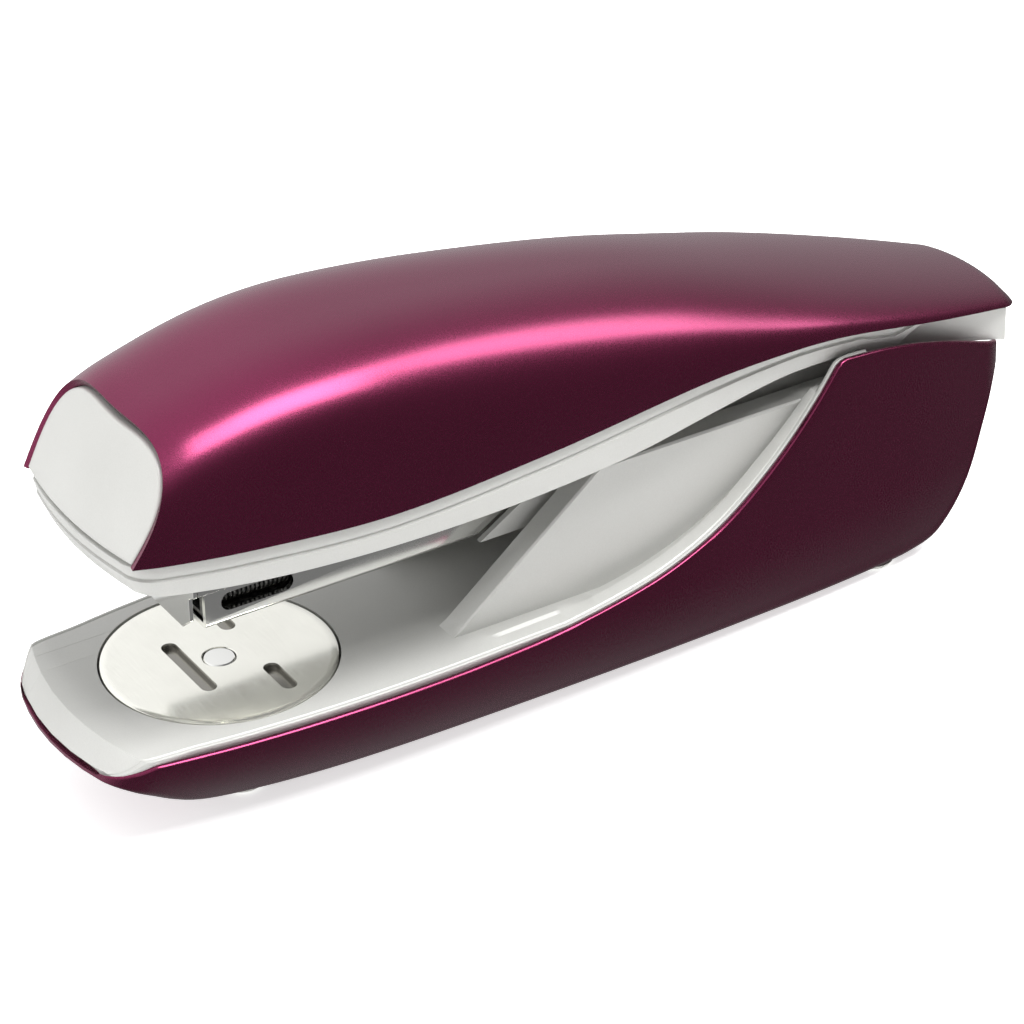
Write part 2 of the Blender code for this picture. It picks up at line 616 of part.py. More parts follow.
ARM_FRONT_Z, ARM_REAR_Z = 42.6, 39.4
ARM_FRONT, ARM_REAR = -56.6, 48.0
ARM_THICK = 1.2
ARM_HALF = 7.2
FRAME_SCREW_YS = (-36.0, -4.0)


def arm_under(y):
    """Underside of the driver arm."""
    return ARM_FRONT_Z + (ARM_REAR_Z - ARM_FRONT_Z) * (y - ARM_FRONT) / (ARM_REAR - ARM_FRONT)


def driver_arm(axis):
    """Steel arm from the hinge ears to the blade."""
    under = [(ARM_FRONT, ARM_FRONT_Z), (ARM_REAR, ARM_REAR_Z), (52.5, 34.0)]
    ear = arc((PIVOT_Y, PIVOT_Z), 5.0, 180, 380, 12)
    top = [(64.6, 33.0), (57.5, ARM_REAR_Z + ARM_THICK), (ARM_REAR, ARM_REAR_Z + ARM_THICK),
           (ARM_FRONT, ARM_FRONT_Z + ARM_THICK)]
    arm = make_object("driver_arm", prism(under + ear + top, "X", -ARM_HALF, ARM_HALF),
                      "bright_steel", parent=axis)
    hollow = [(30.0, 10.0), (80.0, 10.0), (80.0, 33.0), (66.0, 33.0), (56.9, ARM_REAR_Z), (ARM_REAR, ARM_REAR_Z - 0.01),
              (30.0, ARM_REAR_Z - 0.01)]
    add_boolean(arm, prism(hollow, "X", -6.2, 6.2))
    add_boolean(arm, turned([(2.3, -15.0), (2.3, 15.0)], (0, PIVOT_Y, PIVOT_Z), "X"))
    for y in FRAME_SCREW_YS:
        add_boolean(arm, turned([(1.5, 30.0), (1.5, 60.0)], (0, y, 0)))
    add_boolean(arm, turned([(1.5, 30.0), (1.5, 60.0)], (0, RIVET_Y, 0)))


RIVET_Y = -51.5
BLADE_TIP_Z = 33.4
BLADE_Y = -57.45               # middle of the blade at its tip
BLADE_THICK = 0.4
BLADE_LEAN = 0.03


def driver_blade(axis):
    """Thin blade that drives one staple, folded back under the arm at its top."""
    top = ARM_FRONT_Z - GAP
    lean = BLADE_LEAN * (top - BLADE_TIP_Z)
    side = [(BLADE_Y - BLADE_THICK / 2, BLADE_TIP_Z), (BLADE_Y + BLADE_THICK / 2, BLADE_TIP_Z),
            (BLADE_Y + BLADE_THICK / 2 + lean, top - 0.4 - 0.01), (RIVET_Y + 3.0, top - 0.4 - 0.17),
            (RIVET_Y + 3.0, top - 0.17), (BLADE_Y - BLADE_THICK / 2 + lean, top)]
    blade = make_object("driver_blade", prism(side, "X", -6.3, 6.3), "bright_steel", parent=axis)
    for low, high in ((-8.0, -4.0), (4.0, 8.0)):
        add_boolean(blade, box((low, BLADE_Y + 0.9, 41.0), (high, -40.0, 43.5)))
    add_boolean(blade, turned([(1.5, 30.0), (1.5, 60.0)], (0, RIVET_Y, 0)))


def handle_fasteners(axis):
    z = arm_under(RIVET_Y)
    rivet = [(2.2, z - 1.4), (2.4, z - 1.1), (1.2, z - 1.09), (1.2, z + ARM_THICK + 0.1)]
    make_object("blade_rivet", turned(rivet, (0, RIVET_Y, 0), sides=16), "bright_steel", parent=axis)
    for place, y in zip(("front", "rear"), FRAME_SCREW_YS):
        z = arm_under(y)
        screw = [(1.6, z - 1.1), (2.5, z - GAP - 0.1), (1.2, z - GAP), (1.2, cover_edge(y) + 1.6)]
        make_object(f"frame_screw_{place}", turned(screw, (0, y, 0), sides=16), "bright_steel", parent=axis)


def build():
    """Clear the scene and make every piece on its own axis."""
    for old in list(bpy.data.objects):
        bpy.data.objects.remove(old)
    anvil_axis = pivot_empty("anvil_axis", (0, ANVIL_Y, DECK_Z))
    magazine_axis = pivot_empty("magazine_axis", (0, PIVOT_Y, PIVOT_Z))
    pusher_axis = pivot_empty("pusher_axis", (0, PUSHER_FRONT, 33.0), magazine_axis)
    handle_axis = pivot_empty("handle_axis", (0, PIVOT_Y, PIVOT_Z), magazine_axis)

    base_shell()
    base_inlay()
    anvil_seat()
    chassis()
    base_hardware()
    anvil_disc(anvil_axis)
    for piece in (magazine_channel, staple_rail, front_plate, magazine_carrier, magazine_springs):
        piece(magazine_axis)
    pusher(pusher_axis)
    for piece in (top_cover, front_panel, handle_frame, driver_arm, driver_blade, handle_fasteners):
        piece(handle_axis)


build()
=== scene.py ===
"""Looks of a desktop stapler: painted covers, soft-coloured mouldings and bright steel parts.

Lengths are in millimetres and become metres where a mesh is made.  The nose points along -Y,
the hinge end along +Y and +Z is up.
"""
import logging
import math
from dataclasses import dataclass, field
from enum import Enum
from typing import Any, Callable, Iterable, Sequence

import bmesh
import bpy
from mathutils import Matrix, Vector
from mathutils.geometry import tessellate_polygon


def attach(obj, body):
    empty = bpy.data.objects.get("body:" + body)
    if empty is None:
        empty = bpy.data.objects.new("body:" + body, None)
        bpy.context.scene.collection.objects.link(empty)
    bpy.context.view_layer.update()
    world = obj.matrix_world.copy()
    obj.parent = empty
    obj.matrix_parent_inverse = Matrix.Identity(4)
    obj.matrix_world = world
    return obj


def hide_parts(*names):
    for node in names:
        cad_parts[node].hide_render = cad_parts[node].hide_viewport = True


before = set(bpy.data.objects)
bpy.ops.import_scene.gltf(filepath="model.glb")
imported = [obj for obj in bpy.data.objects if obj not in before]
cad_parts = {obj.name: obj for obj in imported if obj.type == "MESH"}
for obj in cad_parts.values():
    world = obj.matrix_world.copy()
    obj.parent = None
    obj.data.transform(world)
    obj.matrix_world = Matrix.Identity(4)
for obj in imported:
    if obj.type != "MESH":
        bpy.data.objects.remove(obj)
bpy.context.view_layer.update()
LOG = logging.getLogger("stapler")
MM = 0.001
SETTLING = 12  # rounds after which a point lies on both of the surfaces that meet there
Point = tuple[float, float, float]
Flat = tuple[float, float]


class Body(Enum):
    """Rigid bodies of the stapler."""

    BASE = "base"
    ANVIL = "anvil"
    MAGAZINE = "magazine"
    PUSHER = "pusher"
    HANDLE = "handle"


class Along(Enum):
    """Axis that a coil winds about, as the turn that brings +Z onto it."""

    X = (0.0, math.pi / 2, 0.0)
    Y = (-math.pi / 2, 0.0, 0.0)
    Z = (0.0, 0.0, 0.0)


# ---- shader graphs ------------------------------------------------------------------------
class Wire:
    """A shader socket that takes part in Python arithmetic."""

    def __init__(self, graph: "Graph", socket: bpy.types.NodeSocket) -> None:
        """Wrap a socket.

        Args:
            graph: The shader graph the socket belongs to.
            socket: The output socket.
        """
        self.graph = graph
        self.socket = socket

    def _math(self, operation: str, first: Any, second: Any) -> "Wire":
        """Add one Math node.

        Args:
            operation: The Math node's operation.
            first: First operand, a number or a wire.
            second: Second operand, a number or a wire.

        Returns:
            The node's result.
        """
        return self.graph.node("ShaderNodeMath", {"operation": operation}, {0: first, 1: second})

    def __add__(self, other: Any) -> "Wire":
        """Sum."""
        return self._math("ADD", self, other)

    def __radd__(self, other: Any) -> "Wire":
        """Sum, reflected."""
        return self._math("ADD", other, self)

    def __sub__(self, other: Any) -> "Wire":
        """Difference."""
        return self._math("SUBTRACT", self, other)

    def __rsub__(self, other: Any) -> "Wire":
        """Difference, reflected."""
        return self._math("SUBTRACT", other, self)

    def __mul__(self, other: Any) -> "Wire":
        """Product."""
        return self._math("MULTIPLY", self, other)

    def __rmul__(self, other: Any) -> "Wire":
        """Product, reflected."""
        return self._math("MULTIPLY", other, self)


class Graph:
    """A material's node tree under construction."""

    def __init__(self, name: str) -> None:
        """Start a material with one Principled shader.

        Args:
            name: The material's name.
        """
        self.material = bpy.data.materials.new(name)
        self.material.use_nodes = True
        self.tree = self.material.node_tree
        self.shader = self.tree.nodes["Principled BSDF"]

    def feed(self, socket: bpy.types.NodeSocket, value: Any) -> None:
        """Link or set one input socket.

        Args:
            socket: The input socket.
            value: A wire, a number, a colour or a vector.
        """
        if isinstance(value, Wire):
            self.tree.links.new(value.socket, socket)
        else:
            socket.default_value = value

    def node(self, kind: str, settings: dict[str, Any] | None = None,
             values: dict[Any, Any] | None = None, output: int | str = 0) -> Wire:
        """Add any node.

        Args:
            kind: The node's type.
            settings: Properties set first; stops fills a colour ramp.
            values: Numbers or wires for the input sockets.
            output: Which output to return.

        Returns:
            The chosen output.
        """
        made = self.tree.nodes.new(kind)
        for key, value in (settings or {}).items():
            if key == "stops":
                for spare in list(made.color_ramp.elements)[1:]:
                    made.color_ramp.elements.remove(spare)
                made.color_ramp.elements[0].position = value[0][0]
                made.color_ramp.elements[0].color = value[0][1]
                for place, colour in value[1:]:
                    made.color_ramp.elements.new(place).color = colour
            else:
                setattr(made, key, value)
        for key, value in (values or {}).items():
            self.feed(made.inputs[key], value)
        return Wire(self, made.outputs[output])

    def place(self, scale: Point = (1.0, 1.0, 1.0)) -> Wire:
        """Object coordinates, stretched.

        Args:
            scale: Stretch along each axis.

        Returns:
            The coordinates.
        """
        spot = self.node("ShaderNodeTexCoord", output="Object")
        return self.node("ShaderNodeMapping", None, {"Vector": spot, "Scale": scale})

    def noise(self, spot: Wire, scale: float, detail: float = 3.0, rough: float = 0.5) -> Wire:
        """Noise from nought to one.

        Args:
            spot: Where to sample.
            scale: Size of the grain, in cells per metre.
            detail: Octaves.
            rough: How strong the fine octaves are.

        Returns:
            The noise value.
        """
        values = {"Vector": spot, "Scale": scale, "Detail": detail, "Roughness": rough}
        return self.node("ShaderNodeTexNoise", None, values, "Fac")

    def blend(self, share: Any, first: Any, second: Any) -> Wire:
        """Mix two colours.

        Args:
            share: How much of the second.
            first: First colour.
            second: Second colour.

        Returns:
            The mixed colour.
        """
        return self.node("ShaderNodeMix", {"data_type": "RGBA"}, {0: share, 6: first, 7: second}, 2)

    def band(self, value: Wire, low: float, high: float, to_low: float = 0.0,
             to_high: float = 1.0) -> Wire:
        """Stretch a range of a value onto another, clamped.

        Args:
            value: The value.
            low: Start of its range.
            high: End of its range.
            to_low: Result at the start.
            to_high: Result at the end.

        Returns:
            The stretched value.
        """
        values = {"Value": value, "From Min": low, "From Max": high, "To Min": to_low,
                  "To Max": to_high}
        return self.node("ShaderNodeMapRange", {"clamp": True}, values, "Result")

    def bump(self, height: Wire, depth: float, strength: float = 1.0) -> Wire:
        """Surface relief.

        Args:
            height: The height field.
            depth: Depth of the relief, in metres.
            strength: How much of it shows.

        Returns:
            The bent normal.
        """
        values = {"Height": height, "Distance": depth, "Strength": strength}
        return self.node("ShaderNodeBump", None, values, "Normal")

    def dress(self, **values: Any) -> bpy.types.Material:
        """Feed the Principled shader.

        Args:
            values: Its inputs, with underscores for spaces.

        Returns:
            The material.
        """
        for key, value in values.items():
            self.feed(self.shader.inputs[key.replace("_", " ")], value)
        return self.material


# ---- finishes -----------------------------------------------------------------------------
@dataclass(frozen=True)
class MetallicPaint:
    """Maroon metallic paint with a fine flake and a clear coat."""

    name: str = "maroon_paint"
    deep: tuple[float, ...] = (0.15, 0.012, 0.05, 1.0)
    light: tuple[float, ...] = (0.205, 0.02, 0.074, 1.0)
    metallic: float = 0.97
    roughness: float = 0.27

    def make(self) -> bpy.types.Material:
        """Build the material.

        Returns:
            The material.
        """
        graph = Graph(self.name)
        flake = graph.noise(graph.place(), 9000.0, 2.0)
        cloud = graph.noise(graph.place(), 28.0, 2.0)
        peel = graph.noise(graph.place(), 900.0, 2.0)
        tint = graph.blend(graph.band(flake * 0.7 + cloud * 0.3, 0.35, 0.68), self.deep, self.light)
        return graph.dress(
            Base_Color=tint, Metallic=self.metallic,
            Roughness=graph.band(flake, 0.3, 0.7, self.roughness - 0.05, self.roughness + 0.05),
            Normal=graph.bump(peel + flake * 0.4, 0.000015, 0.5),
            Coat_Weight=0.34, Coat_Roughness=0.26)


@dataclass(frozen=True)
class SatinMoulding:
    """Light grey moulded plastic with a fine spark texture."""

    name: str = "grey_moulding"
    light: tuple[float, ...] = (0.54, 0.54, 0.52, 1.0)
    dark: tuple[float, ...] = (0.46, 0.46, 0.44, 1.0)
    roughness: float = 0.42
    grain: float = 0.00002

    def make(self) -> bpy.types.Material:
        """Build the material.

        Returns:
            The material.
        """
        graph = Graph(self.name)
        grain = graph.noise(graph.place(), 5200.0, 3.0, 0.6)
        flow = graph.noise(graph.place((1.0, 0.35, 1.0)), 45.0, 3.0)
        tint = graph.blend(graph.band(flow * 0.6 + grain * 0.4, 0.32, 0.7), self.dark, self.light)
        return graph.dress(
            Base_Color=tint, Metallic=0.12,
            Roughness=graph.band(grain, 0.25, 0.75, self.roughness - 0.06, self.roughness + 0.08),
            Normal=graph.bump(grain, self.grain, 0.6))


@dataclass(frozen=True)
class BrightSteel:
    """Nickel-plated sheet steel with faint rolling marks.

    Where top is given, faces below that height, the grooves among them, are darkened with painted
    shade.
    """

    name: str = "bright_steel"
    light: tuple[float, ...] = (0.97, 0.965, 0.90, 1.0)
    dark: tuple[float, ...] = (0.90, 0.895, 0.83, 1.0)
    # hollow is the colour of the painted shade below top
    hollow: tuple[float, ...] = (0.22, 0.21, 0.19, 1.0)
    roughness: float = 0.22
    metallic: float = 0.25
    top: float = 0.0
    shade: float = 0.9
    grain: Point = (1.0, 0.05, 1.0)

    def make(self) -> bpy.types.Material:
        """Build the material.

        Returns:
            The material.
        """
        graph = Graph(self.name)
        marks = graph.noise(graph.place(self.grain), 5200.0, 3.0, 0.6)
        haze = graph.noise(graph.place(), 120.0, 4.0, 0.6)
        tint = graph.blend(graph.band(marks * 0.4 + haze * 0.6, 0.35, 0.65), self.dark, self.light)
        # painted shade: below top the tint is blended towards hollow, by up to shade
        if self.top:
            height = graph.node("ShaderNodeSeparateXYZ", None, {"Vector": graph.place()}, "Z")
            face = graph.band(height, (self.top - 0.45) * MM, (self.top - 0.2) * MM)
            tint = graph.blend((1 - face) * self.shade, tint, self.hollow)
        return graph.dress(
            Base_Color=tint, Metallic=self.metallic,
            Roughness=graph.band(marks * 0.5 + haze * 0.5, 0.3, 0.7, self.roughness - 0.04,
                                 self.roughness + 0.06),
            Normal=graph.bump(marks, 0.000006, 0.5))


@dataclass(frozen=True)
class SpringWire:
    """Drawn spring wire, darker in its hollows."""

    name: str = "spring_wire"
    light: tuple[float, ...] = (0.36, 0.355, 0.34, 1.0)
    dark: tuple[float, ...] = (0.12, 0.12, 0.12, 1.0)

    def make(self) -> bpy.types.Material:
        """Build the material.

        Returns:
            The material.
        """
        graph = Graph(self.name)
        draw = graph.noise(graph.place(), 1500.0, 4.0, 0.6)
        tint = graph.blend(graph.band(draw, 0.3, 0.7), self.dark, self.light)
        return graph.dress(Base_Color=tint, Metallic=1.0,
                           Roughness=graph.band(draw, 0.3, 0.7, 0.26, 0.42),
                           Normal=graph.bump(draw, 0.00001, 0.5))


@dataclass(frozen=True)
class SoftFoot:
    """Light rubber with a matt, slightly dusty skin."""

    name: str = "foot_rubber"
    light: tuple[float, ...] = (0.66, 0.66, 0.63, 1.0)
    dark: tuple[float, ...] = (0.5, 0.5, 0.47, 1.0)

    def make(self) -> bpy.types.Material:
        """Build the material.

        Returns:
            The material.
        """
        graph = Graph(self.name)
        dust = graph.noise(graph.place(), 900.0, 4.0, 0.65)
        tint = graph.blend(graph.band(dust, 0.35, 0.65), self.dark, self.light)
        return graph.dress(Base_Color=tint, Roughness=graph.band(dust, 0.3, 0.7, 0.68, 0.85),
                           Normal=graph.bump(dust, 0.00004, 0.7))


class Finish(Enum):
    """The stapler's finishes, each with the record's slot it belongs to."""

    PAINT = (MetallicPaint(), "painted_metal")
    MOULDING = (SatinMoulding(), "grey_plastic")
    STEEL = (BrightSteel(), "bright_steel")
    # the anvil plate gets painted shade on its faces below the deck height
    PLATE = (BrightSteel("plate_steel_painted_shade", roughness=0.13, metallic=0.85, top=16.0,
                         grain=(0.05, 1.0, 1.0)),
             "bright_steel")
    WIRE = (SpringWire(), "spring_steel")
    RUBBER = (SoftFoot(), "rubber")

    @property
    def slot(self) -> str:
        """The record's material slot."""
        return self.value[1]

    @property
    def material(self) -> bpy.types.Material:
        """The material, made on first use."""
        return bpy.data.materials.get(self.value[0].name) or self.value[0].make()


# ---- outlines -----------------------------------------------------------------------------
@dataclass(frozen=True)
class Sweep:
    """Smooth line through a few control points."""

    points: tuple[Flat, ...]

    def __call__(self, x: float) -> float:
        """Height of the line, straight on past both ends.

        Args:
            x: Place along it.

        Returns:
            The height.
        """
        xs = [p[0] for p in self.points]
        ys = [p[1] for p in self.points]
        last = len(xs) - 1
        slopes = []
        for i in range(last + 1):
            a, b = max(i - 1, 0), min(i + 1, last)
            slopes.append((ys[b] - ys[a]) / (xs[b] - xs[a]))
        if x <= xs[0]:
            return ys[0] + slopes[0] * (x - xs[0])
        if x >= xs[-1]:
            return ys[-1] + slopes[-1] * (x - xs[-1])
        i = max(k for k in range(last) if xs[k] <= x)
        step = xs[i + 1] - xs[i]
        t = (x - xs[i]) / step
        rise = ys[i] * (2 * t ** 3 - 3 * t ** 2 + 1) + ys[i + 1] * (3 * t ** 2 - 2 * t ** 3)
        bend = slopes[i] * (t ** 3 - 2 * t ** 2 + t) + slopes[i + 1] * (t ** 3 - t ** 2)
        return rise + step * bend


def sweep(*points: Flat) -> Sweep:
    """Smooth line through the points given."""
    return Sweep(tuple(points))


def between(low: float, high: float, count: int) -> list[float]:
    """Evenly spaced numbers from low to high, both included."""
    return [low + (high - low) * i / count for i in range(count + 1)]


def clamp(value: float, low: float = 0.0, high: float = 1.0) -> float:
    """Keep a value between two limits."""
    return min(max(value, low), high)


def ease(value: float) -> float:
    """Smooth step from nought to one."""
    t = clamp(value)
    return t * t * (3 - 2 * t)


def arc(centre: Flat, radius: float, start: float, end: float, steps: int) -> list[Flat]:
    """Points on a circle.

    Args:
        centre: Its centre.
        radius: Its radius.
        start: First angle, in degrees.
        end: Last angle, in degrees.
        steps: Steps between them.

    Returns:
        The points.
    """
    turns = [math.radians(a) for a in between(start, end, steps)]
    return [(centre[0] + radius * math.cos(a), centre[1] + radius * math.sin(a)) for a in turns]


# ---- meshes -------------------------------------------------------------------------------
class Skin:
    """Points and faces of one piece, in millimetres, while it is being made."""

    def __init__(self) -> None:
        """Start empty."""
        self.points: list[Point] = []
        self.faces: list[tuple[int, ...]] = []

    def ring(self, points: Iterable[Point]) -> list[int]:
        """Add a row of points.

        Args:
            points: The points.

        Returns:
            Their numbers.
        """
        first = len(self.points)
        self.points.extend(points)
        return list(range(first, len(self.points)))

    def join(self, a: Sequence[int], b: Sequence[int], closed: bool = True) -> None:
        """Fill between two equal rows.

        Args:
            a: First row.
            b: Second row.
            closed: Whether the rows are loops.
        """
        count = len(a)
        for i in range(count if closed else count - 1):
            j = (i + 1) % count
            self.faces.append((a[i], a[j], b[j], b[i]))

    def loft(self, rings: Sequence[Sequence[Point]], closed: bool = True) -> list[list[int]]:
        """Join a series of rows.

        Args:
            rings: The rows of points.
            closed: Whether each row is a loop.

        Returns:
            The rows' point numbers.
        """
        rows = [self.ring(r) for r in rings]
        for a, b in zip(rows, rows[1:]):
            self.join(a, b, closed)
        return rows

    def cap(self, row: Sequence[int]) -> None:
        """Close a loop with triangles.

        Args:
            row: The loop's point numbers.
        """
        corners = [Vector(self.points[i]) for i in row]
        for tri in tessellate_polygon([corners]):
            self.faces.append(tuple(row[i] for i in tri))

    def fold(self, row: Sequence[int]) -> None:
        """Close a loop that goes out and comes back, with strips across it.

        Args:
            row: The loop's point numbers, of even length.
        """
        half = len(row) // 2
        for i in range(half - 1):
            self.faces.append((row[i], row[i + 1], row[-2 - i], row[-1 - i]))

    def prism(self, outline: Sequence[Flat], low: float, high: float,
              place: Callable[[float, float, float], Point]) -> "Skin":
        """Add an outline drawn out from low to high.

        Args:
            outline: The loop.
            low: Start.
            high: End.
            place: Turns the outline's two numbers and the height into a point.

        Returns:
            This skin.
        """
        rows = self.loft([[place(u, v, w) for u, v in outline] for w in (low, high)])
        self.cap(rows[0])
        self.cap(rows[1])
        return self

    def turned(self, profile: Sequence[Flat], centre: Point, sides: int = 96) -> "Skin":
        """Add a body turned about +Z; the profile runs from axis to axis.

        Args:
            profile: Radius and height pairs.
            centre: Point on the axis.
            sides: Facets round the axis.

        Returns:
            This skin.
        """
        rings = []
        for radius, height in profile:
            rings.append([(centre[0] + radius * math.cos(a), centre[1] + radius * math.sin(a),
                           centre[2] + height)
                          for a in (2 * math.pi * i / sides for i in range(sides))])
        rows = self.loft(rings)
        for row in (rows[0], rows[-1]):
            middle = sum((Vector(self.points[i]) for i in row), Vector()) / sides
            hub = self.ring([tuple(middle)])[0]
            for i in range(sides):
                self.faces.append((row[i], row[(i + 1) % sides], hub))
        return self

    def mesh(self, name: str) -> bpy.types.Mesh:
        """Weld the points and turn the faces outwards.

        Args:
            name: The mesh's name.

        Returns:
            The mesh, in metres.
        """
        raw = bpy.data.meshes.new(name)
        raw.from_pydata([tuple(c * MM for c in p) for p in self.points], [], self.faces)
        work = bmesh.new()
        work.from_mesh(raw)
        bmesh.ops.remove_doubles(work, verts=work.verts, dist=0.000004)
        bmesh.ops.dissolve_degenerate(work, edges=work.edges, dist=0.000001)
        bmesh.ops.recalc_face_normals(work, faces=work.faces)
        if work.calc_volume(signed=True) < 0:
            bmesh.ops.reverse_faces(work, faces=work.faces)
        work.to_mesh(raw)
        work.free()
        return raw


@dataclass
class Workshop:
    """Turns skins into dressed pieces that ride on the stapler's bodies."""

    made: list[str] = field(default_factory=list)

    def shape(self, name: str, skin: Skin) -> bpy.types.Object:
        """Make a bare object.

        Args:
            name: The object's name.
            skin: Its shape.

        Returns:
            The object.
        """
        piece = bpy.data.objects.new(name, skin.mesh(name))
        bpy.context.scene.collection.objects.link(piece)
        return piece

    def carve(self, piece: bpy.types.Object, cutters: Sequence[Skin]) -> None:
        """Cut shapes out of a piece for good.

        Args:
            piece: The piece.
            cutters: What to take away.
        """
        helpers = []
        for i, cutter in enumerate(cutters):
            helper = self.shape(f"{piece.name}_cut_{i}", cutter)
            cut = piece.modifiers.new(f"cut_{i}", "BOOLEAN")
            cut.operation, cut.solver, cut.object = "DIFFERENCE", "EXACT", helper
            helpers.append(helper)
        self.settle(piece)
        for helper in helpers:
            bpy.data.objects.remove(helper)

    def settle(self, piece: bpy.types.Object) -> None:
        """Turn a piece's modifiers into plain mesh.

        Args:
            piece: The piece.
        """
        scene = bpy.context.evaluated_depsgraph_get()
        scene.update()
        mesh = bpy.data.meshes.new_from_object(piece.evaluated_get(scene))
        piece.modifiers.clear()
        piece.data = mesh

    def finish(self, piece: bpy.types.Object, look: Finish, body: Body, nodes: Sequence[str] = (),
               edge: float = 0.0, sharp: float = 32.0) -> bpy.types.Object:
        """Dress a piece, round its edges and hang it on its body.

        Args:
            piece: The piece.
            look: Its finish.
            body: The body it moves with.
            nodes: CAD nodes it stands for.
            edge: Width of its rounded edges, in millimetres.
            sharp: Angle past which an edge stays crisp, in degrees.

        Returns:
            The piece.
        """
        piece.data.materials.clear()
        piece.data.materials.append(look.material)
        piece.data.shade_smooth()
        piece.data.set_sharp_from_angle(angle=math.radians(sharp))
        if edge:
            bevel = piece.modifiers.new("edge", "BEVEL")
            bevel.width, bevel.segments = edge * MM, 3
            bevel.limit_method, bevel.angle_limit = "ANGLE", math.radians(40)
            bevel.harden_normals = True
        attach(piece, body.value)
        if nodes:
            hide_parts(*nodes)
        look.slot
        self.made.append(piece.name)
        LOG.info("%s: %d faces on %s", piece.name, len(piece.data.polygons), body.value)
        return piece


SHOP = Workshop()


# ---- shared outlines of the stapler -------------------------------------------------------
@dataclass(frozen=True)
class Lines:
    """Outlines along the length that several sub-assemblies share."""

    nose: float = -77.8
    tail: float = 75.6
    cover_front: float = -72.5
    cover_tail: float = 77.8
    panel_foot: float = 45.3
    panel_bow: float = 0.0067
    panel_rake: float = 0.575
    plan_bow: float = 0.0115
    corner: float = 4.0
    deck: float = 16.0
    anvil_y: float = -51.6
    anvil_r: float = 16.5
    pin: Flat = (60.4, 26.0)
    wall: float = 1.0
    base_half: Sweep = sweep((-77.8, 17.4), (-72, 18.5), (-58, 20.2), (-36, 21.4), (-10, 20.9),
                             (15, 19.8), (40, 17.6), (60, 14.9), (77.8, 11.2))
    keel_half: Sweep = sweep((-77.8, 6.5), (-61, 10.2), (-41, 13.1), (-10, 14.1), (25, 13.9),
                             (51, 12.6), (75.6, 9.0))
    bow_keel: Sweep = sweep((-77.8, 11.6), (-75.6, 10.4), (-71.2, 7.6), (-67.6, 5.2),
                            (-64.0, 3.1), (-60.5, 1.7), (-56, 1.0))
    tail_keel: Sweep = sweep((57.0, 1.0), (62.5, 2.1), (65.2, 5.2), (68.0, 10.5), (71.3, 19.6),
                             (74.5, 28.6), (75.6, 31.0))
    swoop: Sweep = sweep((-24, 15.2), (-10.6, 15.7), (2, 17.3), (10.7, 19.3), (19.6, 23.1),
                         (28.4, 29.4), (35.3, 36.0), (40.3, 42.0))
    rear_rim: Sweep = sweep((40.3, 42.0), (50, 40.5), (62, 37.1), (72, 33.2), (75.6, 31.7))
    half: Sweep = sweep((-72.5, 15.6), (-66, 17.1), (-52, 18.9), (-35, 20.4), (-18, 20.7),
                        (2, 20.3),
                        (20, 19.3), (41, 17.6), (60, 14.9), (77.8, 10.7))
    edge: Sweep = sweep((-72.5, 45.0), (-55, 43.8), (-35, 43.3), (-10, 44.9), (15, 47.0),
                        (31, 46.8),
                        (42, 45.5), (62, 40.8), (77.8, 36.7))
    crown: Sweep = sweep((-72.5, 54.8), (-66, 58.7), (-60, 61.2), (-46, 64.2), (-31, 64.8),
                         (-10, 62.7), (15, 58.0),
                         (38, 51.3), (60, 44.3), (77.8, 38.4))
    power: Sweep = sweep((-72, 3.15), (-58, 3.3), (-41, 3.4), (-20, 3.0), (3, 2.55), (36, 2.1),
                         (77.8, 2.0))
    inset: Sweep = sweep((-77.8, 0.8), (5, 0.9), (18, 1.4), (34, 2.5), (77.8, 2.5))
    skirt: Sweep = sweep((-72.5, 40.2), (-62, 38.8), (-50, 37.9), (-32, 37.7), (-15, 37.9),
                         (2, 38.9),
                         (18, 40.6), (32, 41.3), (44, 40.6))

    def keel(self, s: float) -> float:
        """Underside of the base."""
        if s < -56.0:
            return self.bow_keel(s)
        return self.tail_keel(s) if s > 57.0 else 1.0

    def rim(self, s: float) -> float:
        """Top edge of the painted base shell.

        Args:
            s: Place along the length.

        Returns:
            Its height.
        """
        if s < -73.5:
            return 15.2 - 2.4 * ((-73.5 - s) / 4.3) ** 1.4
        if s < -24.0:
            return 15.2
        return self.swoop(s) if s < 40.3 else self.rear_rim(s)

    def hull(self, s: float, z: float) -> float:
        """Half width of the base: tucked in below the deck, upright above it.

        Args:
            s: Place along the length.
            z: Height.

        Returns:
            The half width.
        """
        t = clamp((z - 1.0) / (self.deck - 1.0))
        full = self.base_half(s)
        narrow = min(self.keel_half(s), full)
        reach = narrow + (full - narrow) * (1 - (1 - t) ** 1.7)
        for inside in (s - self.nose, self.tail - s):
            if inside < self.corner:
                u = 1 - max(inside, 0.0) / self.corner
                reach -= self.corner * (1 - math.sqrt(max(0.0, 1 - u * u)))
        return reach

    def bow(self, s: float) -> float:
        """How much a cross section bulges in plan near the two ends.

        Args:
            s: Place along the length.

        Returns:
            The bulge per millimetre squared across.
        """
        if s < -50.0:
            return self.plan_bow * (-50.0 - s) / (-50.0 - self.nose)
        return -self.plan_bow * (s - 55.0) / (self.tail - 55.0) if s > 55.0 else 0.0

    def dome(self, y: float, turn: float, inset: float = 0.0, lift: float = 0.0) -> Flat:
        """Point of the cover's cross section.

        Args:
            y: Place along the length.
            turn: Direction from the section's foot, in radians, nought to pi.
            inset: How far inside the outer face.
            lift: How far the foot is raised.

        Returns:
            Width and height.
        """
        low = self.edge(y) + lift
        c, s = math.cos(turn), math.sin(turn)
        p = self.power(y)
        r = (abs(c) ** p + abs(s) ** p) ** (-1 / p)
        return (self.half(y) - inset) * c * r, low + (self.crown(y) - inset - low) * s * r

